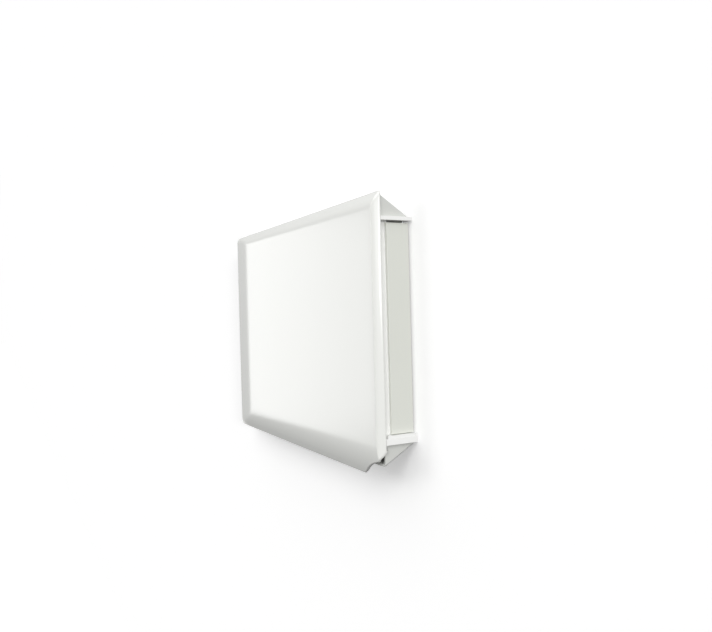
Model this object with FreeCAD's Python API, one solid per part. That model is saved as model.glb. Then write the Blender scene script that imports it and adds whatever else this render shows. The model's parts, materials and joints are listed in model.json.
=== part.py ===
import FreeCAD
import Part
import math
import os

# Wall-mounted antenna and reader unit of a shop's exit gate.
# Millimetres. X runs along the wall, Y into the wall, Z up. The origin is the middle of the wall face.

V = FreeCAD.Vector
X_AXIS = V(1, 0, 0)
Y_AXIS = V(0, 1, 0)
Z_AXIS = V(0, 0, 1)

# ---- driving dimensions -------------------------------------------------------------------
RIM_WIDTH = 470.0            # cover outline along X
RIM_HEIGHT = 300.0           # cover outline along Z
TRAY_DEPTH = 38.0            # wall to the cover's back edge
SKIRT = 1.2                  # straight edge of the cover
CROWN = 8.0                  # skirt to the flat front, across the slopes
SLOPE_LEFT = 58.0            # widths of the four slopes round the flat front
SLOPE_RIGHT = 4.5
SLOPE_TOP = 17.0
SLOPE_BOTTOM = 30.0
CORNER_LEFT = 8.0            # outline corner radii
CORNER_RIGHT = 3.0
COVER_WALL = 3.0
INNER_SHARE = 0.2            # how far behind the outer slope's foot the inner one starts, in walls
SCOOP_RUN = 45.0             # finger scoop at the cover's lower right corner
SCOOP_RISE = 19.0
SCOOP_BOW = 2.5
SCOOP_SIDE = 19.0            # height over which the scoop rounds into the right edge
SCOOP_INSET = 6.0

TRAY_WALL = 2.5
TRAY_STEP = 0.5              # tray outline inside the cover outline
TRAY_LIP = 13.0              # cover edge hanging below the tray
TRAY_END = 4.0               # tray's flat end inside the cover's right edge
INSET_TOP = 26.0             # taper of the tray from cover to wall
INSET_BOTTOM = 35.0
INSET_LEFT = 26.0
TRAY_BACK = 2.5              # recess behind the tray's back wall, for the bracket
RIM_GAP = 0.5                # tray and frame to the cover's back edge

BAY_DEPTH = 39.0             # end frame, from the right edge inwards
RAIL_TOP = 4.0               # heights of the two white rails
RAIL_BOTTOM = 6.5
GROOVE_WIDTH = 9.3           # finger groove in front of the door, cover edge to door
GROOVE_DEPTH = 9.0
FRAME_WALL = 2.0
SILL_HEIGHT = 3.0
FRAME_FIT = 0.2              # tray cut-out round the end frame
FLANGE = 12.0
FRAME_SCREW_UP = 16.0        # middle screw above the rocker's centre

DOOR_THICK = 3.0
DOOR_RECESS = 4.0            # door face inside the right edge
DOOR_TOP_GAP = 2.0
DOOR_SILL_GAP = 0.5
DOOR_WALL_GAP = 1.6
DOOR_STOP_GAP = 0.5
HINGE_BACK = 6.5             # hinge line to the wall
HINGE_IN = 1.0               # hinge line behind the door's inner face
HINGE_SWEEP = 9.0            # room for the door's back edge as it turns
HINGE_PIN_R = 1.5
KNUCKLE_R = 3.0
KNUCKLE_LENGTH = 10.0
RUN_FIT = 0.05               # radial running clearance
MAGNET = 5.0
MAGNET_TALL = 12.0
STRIKE_THICK = 1.0
TOUCH_GAP = 0.3

BRACKET_THICK = 2.0
BRACKET_WIDTH = 260.0
BRACKET_HEIGHT = 160.0
BOLT_SPACING_X = 200.0
BOLT_SPACING_Z = 100.0
BOLT_HOLE_R = 3.25
HOOK_SPACING = 160.0
HOOK_WIDTH = 20.0
HOOK_RISE = 9.0
HOOK_REACH = 5.0
HOOK_Z = 62.0
RETAIN_SPACING = 250.0
RETAIN_Z = -68.0
RETAIN_R = 2.0
RETAIN_ACCESS_R = 5.0         # driver hole in the reflector plate

STUD_R = 3.0                 # cover studs and their grips
GRIP_WALL = 2.0
GRIP_LENGTH = 10.0
POST_WALL = 1.5
POST_TOP_GAP = 4.0
STUD_ENGAGE = 8.0
STUD_INSET_LEFT = 65.0
STUD_INSET_RIGHT = 85.0
STUD_INSET_TOP = 33.0
STUD_INSET_BOTTOM = 43.0
SEAL_WIDTH = 3.0
SEAL_DEPTH = 3.0
SEAL_FIT = 0.1

PLATE_WIDTH = 370.0          # reflector plate
PLATE_GAP_TOP = 4.5          # plate edge to the stud posts above and below it
PLATE_GAP_BOTTOM = 6.5
PLATE_THICK = 1.5
PLATE_X = -5.0
PLATE_STANDOFF = 21.5
PLATE_EDGE = 12.0            # screw to plate edge
PATCH = 130.0
PATCH_THICK = 1.5
PATCH_PITCH = 185.0
PATCH_GAP = 7.0              # air gap between patch and plate
PATCH_SCREW = 100.0
SPACER_R = 4.0
SCREW_R = 1.5
SCREW_HEAD_R = 2.9
SCREW_HEAD = 2.0
FEED_WIDTH = 40.0
BOARD_THICK = 1.6
TONGUE_THICK = 0.6
TONGUE_WIDTH = 4.0

READER_LEFT = -60.0          # reader board
READER_RIGHT = 120.0
READER_LOW = -70.0
READER_HIGH = 50.0
READER_LIFT = 5.4            # board above the tray's back wall
READER_EDGE = 6.0
CAN_WIDTH = 74.0
CAN_TALL = 58.0
CAN_HIGH = 8.0
CAN_WALL = 0.8
CAN_X = 40.0
CAN_Z = 12.0
COAX_R = 1.0
COAX_RUN_Y = 6.0             # coax line above the reader board
PLUG_SIZE = 8.0
HARNESS_R = 2.0
LEAD_R = 0.9

PORT_PLATE = 2.0
ANTENNA_PORT_AT = (0.86, 0.77)   # heights of the ports, as shares of the bay's height
LENS_AT = 0.68
ETHERNET_AT = 0.59
ROCKER_AT = 0.43
DC_AT = 0.24
RESET_AT = 0.14
LENS_PITCH = 5.0
PORT_FIT = 0.2
ROCKER_TILT = 8.0            # rocker leans this far each way from level
ROCKER_WIDTH = 10.0
ROCKER_TALL = 14.4
ROCKER_PIN_R = 1.0
RESET_R = 2.2
RESET_TRAVEL = 0.8
LENS_R = 1.5
GROMMET_UP = 15.0            # entry's centre above the bay's floor
GROMMET_R = 6.0
GROMMET_WALL = 2.0
GROMMET_LIP = 1.0
SOUNDER_R = 14.0
SOUNDER_HIGH = 10.0
SOUNDER_X = -152.0
SOUNDER_Z = -60.0

# ---- places worked out from them ----------------------------------------------------------
LEFT = -RIM_WIDTH / 2
RIGHT = RIM_WIDTH / 2
TOP = RIM_HEIGHT / 2
BOTTOM = -RIM_HEIGHT / 2
RIM_Y = -TRAY_DEPTH
FRONT_Y = RIM_Y - SKIRT - CROWN
INNER_FRONT_Y = FRONT_Y + COVER_WALL
TRAY_FRONT_Y = RIM_Y + RIM_GAP
FLOOR_Y = -TRAY_BACK - TRAY_WALL             # inner face of the tray's back wall
TRAY_RIGHT = RIGHT - TRAY_END
WALL_TOP = TOP - INSET_TOP
WALL_BOTTOM = BOTTOM + INSET_BOTTOM
BAY_X = RIGHT - BAY_DEPTH
RAIL_TOP_Z = WALL_TOP
BAY_TOP = RAIL_TOP_Z - RAIL_TOP
RAIL_BOTTOM_Z = WALL_BOTTOM + 1.5
BAY_BOTTOM = RAIL_BOTTOM_Z + RAIL_BOTTOM
GROOVE_X = RIGHT - GROOVE_DEPTH
DOOR_FRONT_Y = RIM_Y + GROOVE_WIDTH
DOOR_OUT_X = RIGHT - DOOR_RECESS
DOOR_IN_X = DOOR_OUT_X - DOOR_THICK
DOOR_TOP = BAY_TOP - DOOR_TOP_GAP
DOOR_BOTTOM = BAY_BOTTOM + SILL_HEIGHT + DOOR_SILL_GAP
HINGE_X = DOOR_IN_X - HINGE_IN
HINGE_Y = -HINGE_BACK
BAY_FRONT_Y = DOOR_FRONT_Y + TOUCH_GAP       # wall between groove and bay
BAY_FRONT_IN_Y = BAY_FRONT_Y + FRAME_WALL
PORT_BACK_X = BAY_X + FRAME_WALL
PORT_FACE_X = PORT_BACK_X + PORT_PLATE
PORT_MID_Y = (BAY_FRONT_IN_Y - TRAY_BACK) / 2


def port_height(share):
    return BAY_BOTTOM + share * (BAY_TOP - BAY_BOTTOM)


ANTENNA_PORT_Z = [port_height(share) for share in ANTENNA_PORT_AT]
LENS_Z = port_height(LENS_AT)
ETHERNET_Z = port_height(ETHERNET_AT)
ROCKER_Z = port_height(ROCKER_AT)
DC_Z = port_height(DC_AT)
RESET_Z = port_height(RESET_AT)
GROMMET_Z = BAY_BOTTOM + GROMMET_UP
HINGE_SWEEP_X = HINGE_X - HINGE_SWEEP        # edge of the bay's back wall, clear of the turning door
PLATE_Y = FLOOR_Y - PLATE_STANDOFF           # back face of the reflector plate
GRIP_R = STUD_R + RUN_FIT + GRIP_WALL
POST_R = GRIP_R + POST_WALL
PLATE_TOP = TOP - STUD_INSET_TOP - POST_R - PLATE_GAP_TOP
PLATE_LOW = BOTTOM + STUD_INSET_BOTTOM + POST_R + PLATE_GAP_BOTTOM
PLATE_HEIGHT = PLATE_TOP - PLATE_LOW
PLATE_Z = (PLATE_TOP + PLATE_LOW) / 2
PLATE_FRONT_Y = PLATE_Y - PLATE_THICK
PATCH_Y = PLATE_FRONT_Y - PATCH_GAP
READER_BACK_Y = FLOOR_Y - READER_LIFT
READER_Y = READER_BACK_Y - BOARD_THICK


# ---- shape helpers ------------------------------------------------------------------------
def box(x0, x1, y0, y1, z0, z1):
    return Part.makeBox(x1 - x0, y1 - y0, z1 - z0, V(x0, y0, z0))


def rod_x(y, z, x0, x1, r):
    return Part.makeCylinder(r, x1 - x0, V(x0, y, z), X_AXIS)


def rod_y(x, z, y0, y1, r):
    return Part.makeCylinder(r, y1 - y0, V(x, y0, z), Y_AXIS)


def rod_z(x, y, z0, z1, r):
    return Part.makeCylinder(r, z1 - z0, V(x, y, z0), Z_AXIS)


def fuse(shapes):
    first = shapes[0]
    if len(shapes) == 1:
        return first
    return first.multiFuse(shapes[1:]).removeSplitter()


def cut(shape, tools):
    return shape.cut(tools)


def corner_arc(cx, cz, y, r, start):
    turn = math.radians(start)
    points = []
    for step in (0, 45, 90):
        a = turn + math.radians(step)
        points.append(V(cx + r * math.cos(a), y, cz + r * math.sin(a)))
    return Part.Arc(*points).toShape()


def outline(x0, x1, z0, z1, y, r_left, r_right):
    """Closed wire of a rectangle with rounded corners, in the plane at depth y."""
    corners = [
        (x1 - r_right, z1 - r_right, r_right, 0),
        (x0 + r_left, z1 - r_left, r_left, 90),
        (x0 + r_left, z0 + r_left, r_left, 180),
        (x1 - r_right, z0 + r_right, r_right, 270),
    ]
    arcs = [corner_arc(cx, cz, y, r, start) for cx, cz, r, start in corners]
    edges = []
    for index, arc in enumerate(arcs):
        following = arcs[(index + 1) % len(arcs)]
        edges.append(arc)
        edges.append(Part.LineSegment(arc.lastVertex().Point, following.firstVertex().Point).toShape())
    return Part.Wire(edges)


def prism(wire, depth):
    return Part.Face(wire).extrude(V(0, depth, 0))


def loft(wires):
    return Part.makeLoft(wires, True, True)


def screw_y(x, z, seat_y, tip_y):
    """Pan-head screw driven along +Y, with its head on the face at seat_y."""
    head = rod_y(x, z, seat_y - SCREW_HEAD, seat_y, SCREW_HEAD_R)
    slot = box(x - 2.0, x + 2.0, seat_y - SCREW_HEAD, seat_y - SCREW_HEAD + 0.8, z - 0.4, z + 0.4)
    return fuse([head, rod_y(x, z, seat_y, tip_y, SCREW_R)]).cut(slot)


def tube_along(points, r):
    """Round lead along straight runs joined by arcs, each as large as its two runs allow."""
    edges = []
    start = points[0]
    for before, corner, after in zip(points, points[1:], points[2:]):
        back = (before - corner).normalize()
        ahead = (after - corner).normalize()
        shorter = min((before - corner).Length, (after - corner).Length)
        turn = math.pi - back.getAngle(ahead)
        trim = 0.45 * shorter
        radius = trim / math.tan(turn / 2)
        into = corner + back * trim
        out = corner + ahead * trim
        middle_dir = (back + ahead).normalize()
        to_centre = radius / math.cos(turn / 2)
        middle = corner + middle_dir * (to_centre - radius)
        edges.append(Part.LineSegment(start, into).toShape())
        edges.append(Part.Arc(into, middle, out).toShape())
        print("lead radius", round(radius, 1))
        start = out
    edges.append(Part.LineSegment(start, points[-1]).toShape())
    path = Part.Wire(edges)
    circle = Part.Circle(points[0], points[1] - points[0], r).toShape()
    tube = path.makePipeShell([Part.Wire([circle])], True, False)
    wanted = math.pi * r * r * path.Length
    print("lead volume ratio", round(tube.Volume / wanted, 4))
    return tube


# ---- front cover --------------------------------------------------------------------------
def cover_edge(y, inset):
    return outline(LEFT + inset, RIGHT - inset, BOTTOM + inset, TOP - inset, y,
                   CORNER_LEFT, CORNER_RIGHT)


def cover_flat(y):
    return outline(LEFT + SLOPE_LEFT, RIGHT - SLOPE_RIGHT, BOTTOM + SLOPE_BOTTOM, TOP - SLOPE_TOP, y,
                   CORNER_LEFT, CORNER_RIGHT)


def scoop_tool():
    """Prism that takes the finger scoop out of the cover's lower right corner."""
    past = 5.0
    start = V(RIGHT - SCOOP_RUN, FRONT_Y - past, BOTTOM)
    end = V(RIGHT - SCOOP_INSET, FRONT_Y - past, BOTTOM + SCOOP_RISE)
    middle = (start + end) * 0.5 + V(-SCOOP_BOW / 2, 0, SCOOP_BOW)
    side = V(RIGHT, FRONT_Y - past, BOTTOM + SCOOP_RISE + SCOOP_SIDE)
    side_middle = (end + side) * 0.5 + V(SCOOP_INSET / 4, 0, -SCOOP_BOW)
    far = V(RIGHT + past, FRONT_Y - past, side.z)
    low_right = V(RIGHT + past, FRONT_Y - past, BOTTOM - past)
    low_left = V(start.x, FRONT_Y - past, BOTTOM - past)
    edges = [
        Part.Arc(start, middle, end).toShape(),
        Part.Arc(end, side_middle, side).toShape(),
        Part.LineSegment(side, far).toShape(),
        Part.LineSegment(far, low_right).toShape(),
        Part.LineSegment(low_right, low_left).toShape(),
        Part.LineSegment(low_left, start).toShape(),
    ]
    return prism(Part.Wire(edges), RIM_Y - FRONT_Y + 2 * past)


def front_cover():
    crown_y = RIM_Y - SKIRT
    skirt = prism(cover_edge(crown_y, 0), SKIRT)
    crown = loft([cover_edge(crown_y, 0), cover_flat(FRONT_Y)])
    outer = fuse([skirt, crown])
    inner_crown_y = crown_y + COVER_WALL * INNER_SHARE
    over = 1.0
    hollow_skirt = prism(cover_edge(inner_crown_y, COVER_WALL), RIM_Y - inner_crown_y + over)
    hollow_crown = loft([cover_edge(inner_crown_y, COVER_WALL), cover_flat(INNER_FRONT_Y)])
    return cut(outer, [hollow_skirt, hollow_crown, scoop_tool()])


STUD_PLACES = [(x, z) for x in (LEFT + STUD_INSET_LEFT, RIGHT - STUD_INSET_RIGHT)
               for z in (TOP - STUD_INSET_TOP, BOTTOM + STUD_INSET_BOTTOM)]
POST_TOP_Y = RIM_Y + POST_TOP_GAP


def cover_studs():
    studs = []
    for x, z in STUD_PLACES:
        tip_y = POST_TOP_Y + STUD_ENGAGE
        base_y = INNER_FRONT_Y
        studs.append(fuse([rod_y(x, z, base_y, tip_y, STUD_R), rod_y(x, z, base_y, base_y + 2.0, STUD_R + 3.0)]))
    return studs


def stud_grips():
    grips = []
    for x, z in STUD_PLACES:
        sleeve = rod_y(x, z, POST_TOP_Y, POST_TOP_Y + GRIP_LENGTH, GRIP_R)
        grips.append(sleeve.cut(rod_y(x, z, POST_TOP_Y - 1, POST_TOP_Y + GRIP_LENGTH + 1, STUD_R + RUN_FIT)))
    return grips


def cover_seal():
    right = BAY_X - SEAL_FIT
    inset = TRAY_STEP + TRAY_WALL + SEAL_FIT
    taper = INSET_LEFT * (RIM_GAP + SEAL_DEPTH) / TRAY_DEPTH
    left = LEFT + inset + taper
    top = TOP - inset - taper
    bottom = BOTTOM + TRAY_LIP + inset + taper
    y0 = TRAY_FRONT_Y
    ring = prism(outline(left, right, bottom, top, y0, CORNER_LEFT, CORNER_RIGHT), SEAL_DEPTH)
    hole = prism(outline(left + SEAL_WIDTH, right - SEAL_WIDTH, bottom + SEAL_WIDTH, top - SEAL_WIDTH,
                         y0 - 1, CORNER_LEFT - SEAL_WIDTH, CORNER_RIGHT), SEAL_DEPTH + 2)
    return ring.cut(hole)


# ---- tapered rear tray --------------------------------------------------------------------
def tray_section(y, inset):
    """Tray outline at depth y, between the cover's edge and the wall."""
    share = (y - RIM_Y) / TRAY_DEPTH
    left = LEFT + TRAY_STEP + INSET_LEFT * share
    top = TOP - TRAY_STEP + (WALL_TOP - TOP + TRAY_STEP) * share
    low = BOTTOM + TRAY_LIP
    bottom = low + (WALL_BOTTOM - low) * share
    return outline(left + inset, TRAY_RIGHT - inset, bottom + inset, top - inset, y,
                   CORNER_LEFT, CORNER_RIGHT)


PLATE_PLACES = [(PLATE_X + sx * (PLATE_WIDTH / 2 - PLATE_EDGE), PLATE_Z + sz * (PLATE_HEIGHT / 2 - PLATE_EDGE))
                for sx in (-1, 0, 1) for sz in (-1, 1)]
READER_PLACES = [(x, z) for x in (READER_LEFT + READER_EDGE, READER_RIGHT - READER_EDGE)
                 for z in (READER_LOW + READER_EDGE, READER_HIGH - READER_EDGE)]
RETAIN_PLACES = [(-RETAIN_SPACING / 2, RETAIN_Z), (RETAIN_SPACING / 2, RETAIN_Z)]
HOOK_PLACES = [-HOOK_SPACING / 2, HOOK_SPACING / 2]
FRAME_SCREW_Z = (BAY_BOTTOM + 20, ROCKER_Z + FRAME_SCREW_UP, BAY_TOP - 20)


def tray_posts():
    posts = []
    for x, z in STUD_PLACES:
        posts.append(rod_y(x, z, POST_TOP_Y, FLOOR_Y, POST_R))
    for x, z in PLATE_PLACES:
        posts.append(rod_y(x, z, PLATE_Y, FLOOR_Y, SPACER_R))
    for x, z in READER_PLACES:
        posts.append(rod_y(x, z, READER_BACK_Y, FLOOR_Y, SPACER_R))
    return posts


def tray_holes():
    holes = []
    for x, z in STUD_PLACES:
        holes.append(rod_y(x, z, POST_TOP_Y - 1, POST_TOP_Y + GRIP_LENGTH, GRIP_R))
    for x, z in PLATE_PLACES:
        holes.append(rod_y(x, z, PLATE_Y - 1, PLATE_Y + 8, SCREW_R))
    for x, z in READER_PLACES:
        holes.append(rod_y(x, z, READER_BACK_Y - 1, READER_BACK_Y + 4, SCREW_R))
    for x, z in RETAIN_PLACES:
        holes.append(rod_y(x, z, FLOOR_Y - 1, 0, RETAIN_R + PORT_FIT))
    for x in HOOK_PLACES:
        half = HOOK_WIDTH / 2 + 1.0
        holes.append(box(x - half, x + half, FLOOR_Y - 1, 0, HOOK_Z - 2.0, HOOK_Z + HOOK_RISE + 6.0))
    for z in FRAME_SCREW_Z:
        holes.append(rod_y(BAY_X - FLANGE / 2, z, FLOOR_Y - 1, 0, SCREW_R))
    return holes


def rear_tray():
    over = 0.01
    shell = loft([tray_section(TRAY_FRONT_Y, 0), tray_section(0, 0)])
    hollow = loft([tray_section(TRAY_FRONT_Y - over, TRAY_WALL), tray_section(FLOOR_Y, TRAY_WALL)])
    recess = loft([tray_section(-TRAY_BACK, TRAY_WALL), tray_section(over, TRAY_WALL)])
    bay = box(BAY_X - FRAME_FIT, RIGHT, RIM_Y, 1.0, RAIL_BOTTOM_Z - FRAME_FIT, RAIL_TOP_Z + FRAME_FIT)
    body = cut(shell, [hollow, recess, bay])
    body = fuse([body] + tray_posts())
    return cut(body, tray_holes())


# ---- end frame with the groove and the service bay ----------------------------------------
def end_frame():
    top_rail = box(BAY_X, RIGHT, TRAY_FRONT_Y, 0, BAY_TOP, RAIL_TOP_Z)
    bottom_rail = box(BAY_X, RIGHT, TRAY_FRONT_Y, 0, RAIL_BOTTOM_Z, BAY_BOTTOM)
    groove_front = box(GROOVE_X - FRAME_WALL, TRAY_RIGHT, TRAY_FRONT_Y, TRAY_FRONT_Y + FRAME_WALL * 0.75,
                       BAY_BOTTOM, BAY_TOP)
    groove_floor = box(GROOVE_X - FRAME_WALL, GROOVE_X, TRAY_FRONT_Y, BAY_FRONT_IN_Y, BAY_BOTTOM, BAY_TOP)
    bay_front = box(BAY_X, DOOR_IN_X - DOOR_STOP_GAP, BAY_FRONT_Y, BAY_FRONT_IN_Y, BAY_BOTTOM, BAY_TOP)
    bay_back = box(BAY_X, HINGE_SWEEP_X, -TRAY_BACK, 0, BAY_BOTTOM, BAY_TOP)
    web = box(BAY_X, PORT_BACK_X, FLOOR_Y - TRAY_WALL, 0, BAY_BOTTOM, BAY_TOP)
    flange = box(BAY_X - FLANGE, BAY_X, FLOOR_Y - TRAY_WALL, FLOOR_Y, BAY_BOTTOM + 6, BAY_TOP - 6)
    pads = []
    for z0, z1 in ((BAY_BOTTOM, BAY_BOTTOM + 8), (BAY_TOP - 8, BAY_TOP)):
        pads.append(box(PORT_BACK_X - 4.0, PORT_BACK_X, BAY_FRONT_IN_Y, FLOOR_Y, z0, z1))
    body = fuse([top_rail, bottom_rail, groove_front, groove_floor, bay_front, bay_back, web, flange] + pads)
    holes = [rod_z(HINGE_X, HINGE_Y, BAY_TOP - 1, BAY_TOP + RAIL_TOP * 0.75, HINGE_PIN_R),
             rod_z(HINGE_X, HINGE_Y, BAY_BOTTOM - RAIL_BOTTOM * 0.75, BAY_BOTTOM + 1, HINGE_PIN_R),
             rod_y(grommet_x(), GROMMET_Z, -TRAY_BACK - 1, 1, GROMMET_R + GROMMET_WALL)]
    for z in FRAME_SCREW_Z:
        holes.append(rod_y(BAY_X - FLANGE / 2, z, FLOOR_Y - TRAY_WALL - 1, FLOOR_Y + 1, SCREW_R))
    for z in PORT_SCREW_Z:
        holes.append(rod_x(PORT_MID_Y, z, PORT_BACK_X - 5, PORT_BACK_X + 1, SCREW_R))
    return cut(body, holes)


PORT_SCREW_Z = (BAY_BOTTOM + 4, BAY_TOP - 4)


def grommet_x():
    return (PORT_FACE_X + HINGE_SWEEP_X) / 2


def door_sill():
    sill = box(DOOR_IN_X - 6, RIGHT - 0.4, TRAY_FRONT_Y + FRAME_WALL, -0.5, BAY_BOTTOM, BAY_BOTTOM + SILL_HEIGHT)
    front_end = box(DOOR_IN_X - 7, DOOR_IN_X - DOOR_STOP_GAP + TOUCH_GAP, BAY_FRONT_Y - TOUCH_GAP,
                    BAY_FRONT_IN_Y + TOUCH_GAP, BAY_BOTTOM - 1, BAY_BOTTOM + SILL_HEIGHT + 1)
    floor_end = box(DOOR_IN_X - 7, GROOVE_X + TOUCH_GAP, TRAY_FRONT_Y, BAY_FRONT_Y,
                    BAY_BOTTOM - 1, BAY_BOTTOM + SILL_HEIGHT + 1)
    pin = rod_z(HINGE_X, HINGE_Y, BAY_BOTTOM - 1, BAY_BOTTOM + SILL_HEIGHT + 1, HINGE_PIN_R + RUN_FIT)
    return cut(sill, [front_end, floor_end, pin])


def entry_grommet():
    x = grommet_x()
    barrel = rod_y(x, GROMMET_Z, -TRAY_BACK, 0, GROMMET_R + GROMMET_WALL)
    lip = rod_y(x, GROMMET_Z, -TRAY_BACK - GROMMET_LIP, -TRAY_BACK, GROMMET_R + GROMMET_WALL + GROMMET_LIP)
    hole = rod_y(x, GROMMET_Z, -TRAY_BACK - GROMMET_LIP - 1, 1, GROMMET_R)
    return fuse([barrel, lip]).cut(hole)


def frame_screws():
    x = BAY_X - FLANGE / 2
    return [screw_y(x, z, FLOOR_Y - TRAY_WALL, -TRAY_BACK) for z in FRAME_SCREW_Z]


# ---- side door ----------------------------------------------------------------------------
def side_door():
    panel = box(DOOR_IN_X, DOOR_OUT_X, DOOR_FRONT_Y, -DOOR_WALL_GAP, DOOR_BOTTOM, DOOR_TOP)
    panel = panel.makeFillet(0.8, [e for e in panel.Edges if e.BoundBox.XMin > DOOR_OUT_X - 0.1])
    knuckles = [rod_z(HINGE_X, HINGE_Y, DOOR_TOP - KNUCKLE_LENGTH, DOOR_TOP, KNUCKLE_R),
                rod_z(HINGE_X, HINGE_Y, DOOR_BOTTOM, DOOR_BOTTOM + KNUCKLE_LENGTH, KNUCKLE_R)]
    bores = [rod_z(HINGE_X, HINGE_Y, DOOR_TOP - KNUCKLE_LENGTH, DOOR_TOP + 1, HINGE_PIN_R + RUN_FIT),
             rod_z(HINGE_X, HINGE_Y, DOOR_BOTTOM - 1, DOOR_BOTTOM + KNUCKLE_LENGTH, HINGE_PIN_R + RUN_FIT)]
    return cut(fuse([panel] + knuckles), bores)


def hinge_pins():
    reach = KNUCKLE_LENGTH - 1.0
    upper = rod_z(HINGE_X, HINGE_Y, DOOR_TOP - reach, BAY_TOP + RAIL_TOP * 0.75, HINGE_PIN_R)
    lower = rod_z(HINGE_X, HINGE_Y, BAY_BOTTOM - RAIL_BOTTOM * 0.75, DOOR_BOTTOM + reach, HINGE_PIN_R)
    return [upper, lower]


MAGNET_Z = (DOOR_BOTTOM + 52, DOOR_TOP - 52)


def door_strikes():
    return [box(DOOR_IN_X - STRIKE_THICK, DOOR_IN_X, BAY_FRONT_IN_Y + TOUCH_GAP,
                BAY_FRONT_IN_Y + TOUCH_GAP + MAGNET, z - MAGNET_TALL / 2, z + MAGNET_TALL / 2) for z in MAGNET_Z]


def door_magnets():
    outer = DOOR_IN_X - STRIKE_THICK - TOUCH_GAP
    return [box(outer - MAGNET, outer, BAY_FRONT_IN_Y, BAY_FRONT_IN_Y + MAGNET,
                z - MAGNET_TALL / 2, z + MAGNET_TALL / 2) for z in MAGNET_Z]


# ---- wall bracket -------------------------------------------------------------------------
def wall_bracket():
    half_x = BRACKET_WIDTH / 2
    half_z = BRACKET_HEIGHT / 2
    plate = prism(outline(-half_x, half_x, -half_z, half_z, -BRACKET_THICK, 10.0, 10.0), BRACKET_THICK)
    parts = [plate]
    tip_y = FLOOR_Y - TOUCH_GAP - BRACKET_THICK
    for x in HOOK_PLACES:
        parts.append(box(x - HOOK_WIDTH / 2, x + HOOK_WIDTH / 2, tip_y, -BRACKET_THICK, HOOK_Z, HOOK_Z + BRACKET_THICK))
        parts.append(box(x - HOOK_WIDTH / 2, x + HOOK_WIDTH / 2, tip_y, tip_y + BRACKET_THICK,
                         HOOK_Z, HOOK_Z + HOOK_RISE))
    for x, z in RETAIN_PLACES:
        parts.append(rod_y(x, z, -TRAY_BACK, -BRACKET_THICK, RETAIN_R + 2.5))
    holes = []
    for sx in (-0.5, 0.5):
        for sz in (-0.5, 0.5):
            holes.append(rod_y(sx * BOLT_SPACING_X, sz * BOLT_SPACING_Z, -TRAY_BACK, 1, BOLT_HOLE_R))
    for x, z in RETAIN_PLACES:
        holes.append(rod_y(x, z, -TRAY_BACK - 1, 1, RETAIN_R))
    return cut(fuse(parts), holes)


def retaining_screws():
    screws = []
    for x, z in RETAIN_PLACES:
        head = rod_y(x, z, FLOOR_Y - 2.5, FLOOR_Y, RETAIN_R + 2.0)
        slot = box(x - 3, x + 3, FLOOR_Y - 2.5, FLOOR_Y - 1.5, z - 0.5, z + 0.5)
        screws.append(fuse([head, rod_y(x, z, FLOOR_Y, -0.3, RETAIN_R)]).cut(slot))
    return screws


# ---- antenna ------------------------------------------------------------------------------
PATCH_X = {"patch_left": PLATE_X - PATCH_PITCH / 2, "patch_right": PLATE_X + PATCH_PITCH / 2}
PATCH_PLACES = [(x + sx * PATCH_SCREW / 2, PLATE_Z + sz * PATCH_SCREW / 2)
                for x in PATCH_X.values() for sx in (-1, 1) for sz in (-1, 1)]
COAX_HOLE_R = COAX_R + 0.5


def ground_plate():
    plate = prism(outline(PLATE_X - PLATE_WIDTH / 2, PLATE_X + PLATE_WIDTH / 2, PLATE_Z - PLATE_HEIGHT / 2,
                          PLATE_Z + PLATE_HEIGHT / 2, PLATE_FRONT_Y, 6.0, 6.0), PLATE_THICK)
    holes = [rod_y(x, z, PLATE_FRONT_Y - 1, PLATE_Y + 1, SCREW_R) for x, z in PLATE_PLACES + PATCH_PLACES]
    holes.append(rod_y(PLATE_X, PLATE_Z, PLATE_FRONT_Y - 1, PLATE_Y + 1, COAX_HOLE_R))
    holes += [rod_y(x, z, PLATE_FRONT_Y - 1, PLATE_Y + 1, RETAIN_ACCESS_R) for x, z in RETAIN_PLACES]
    return cut(plate, holes)


def plate_screws():
    return [screw_y(x, z, PLATE_FRONT_Y, PLATE_Y + 7) for x, z in PLATE_PLACES]


def patch(x):
    half = PATCH / 2
    blank = box(x - half, x + half, PATCH_Y - PATCH_THICK, PATCH_Y, PLATE_Z - half, PLATE_Z + half)
    notch = 14.0
    trims = []
    for sx, sz in ((-1, 1), (1, -1)):
        corner = V(x + sx * half, PATCH_Y - 5, PLATE_Z + sz * half)
        points = [corner, corner + V(-sx * notch, 0, 0), corner + V(0, 0, -sz * notch), corner]
        trims.append(prism(Part.makePolygon(points), 10))
    for px, pz in PATCH_PLACES:
        trims.append(rod_y(px, pz, PATCH_Y - 5, PATCH_Y + 5, SCREW_R))
    return cut(blank, trims)


def patch_spacers():
    spacers = []
    for x, z in PATCH_PLACES:
        spacers.append(rod_y(x, z, PATCH_Y, PLATE_FRONT_Y, SPACER_R).cut(
            rod_y(x, z, PATCH_Y - 1, PLATE_FRONT_Y + 1, SCREW_R)))
    return spacers


def patch_screws():
    return [screw_y(x, z, PATCH_Y - PATCH_THICK, PLATE_Y) for x, z in PATCH_PLACES]


def feed_board():
    half = FEED_WIDTH / 2
    board = box(PLATE_X - half, PLATE_X + half, PLATE_FRONT_Y - BOARD_THICK, PLATE_FRONT_Y,
                PLATE_Z - half, PLATE_Z + half)
    return board.cut(rod_y(PLATE_X, PLATE_Z, PLATE_FRONT_Y - 5, PLATE_FRONT_Y + 1, COAX_R))


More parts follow.
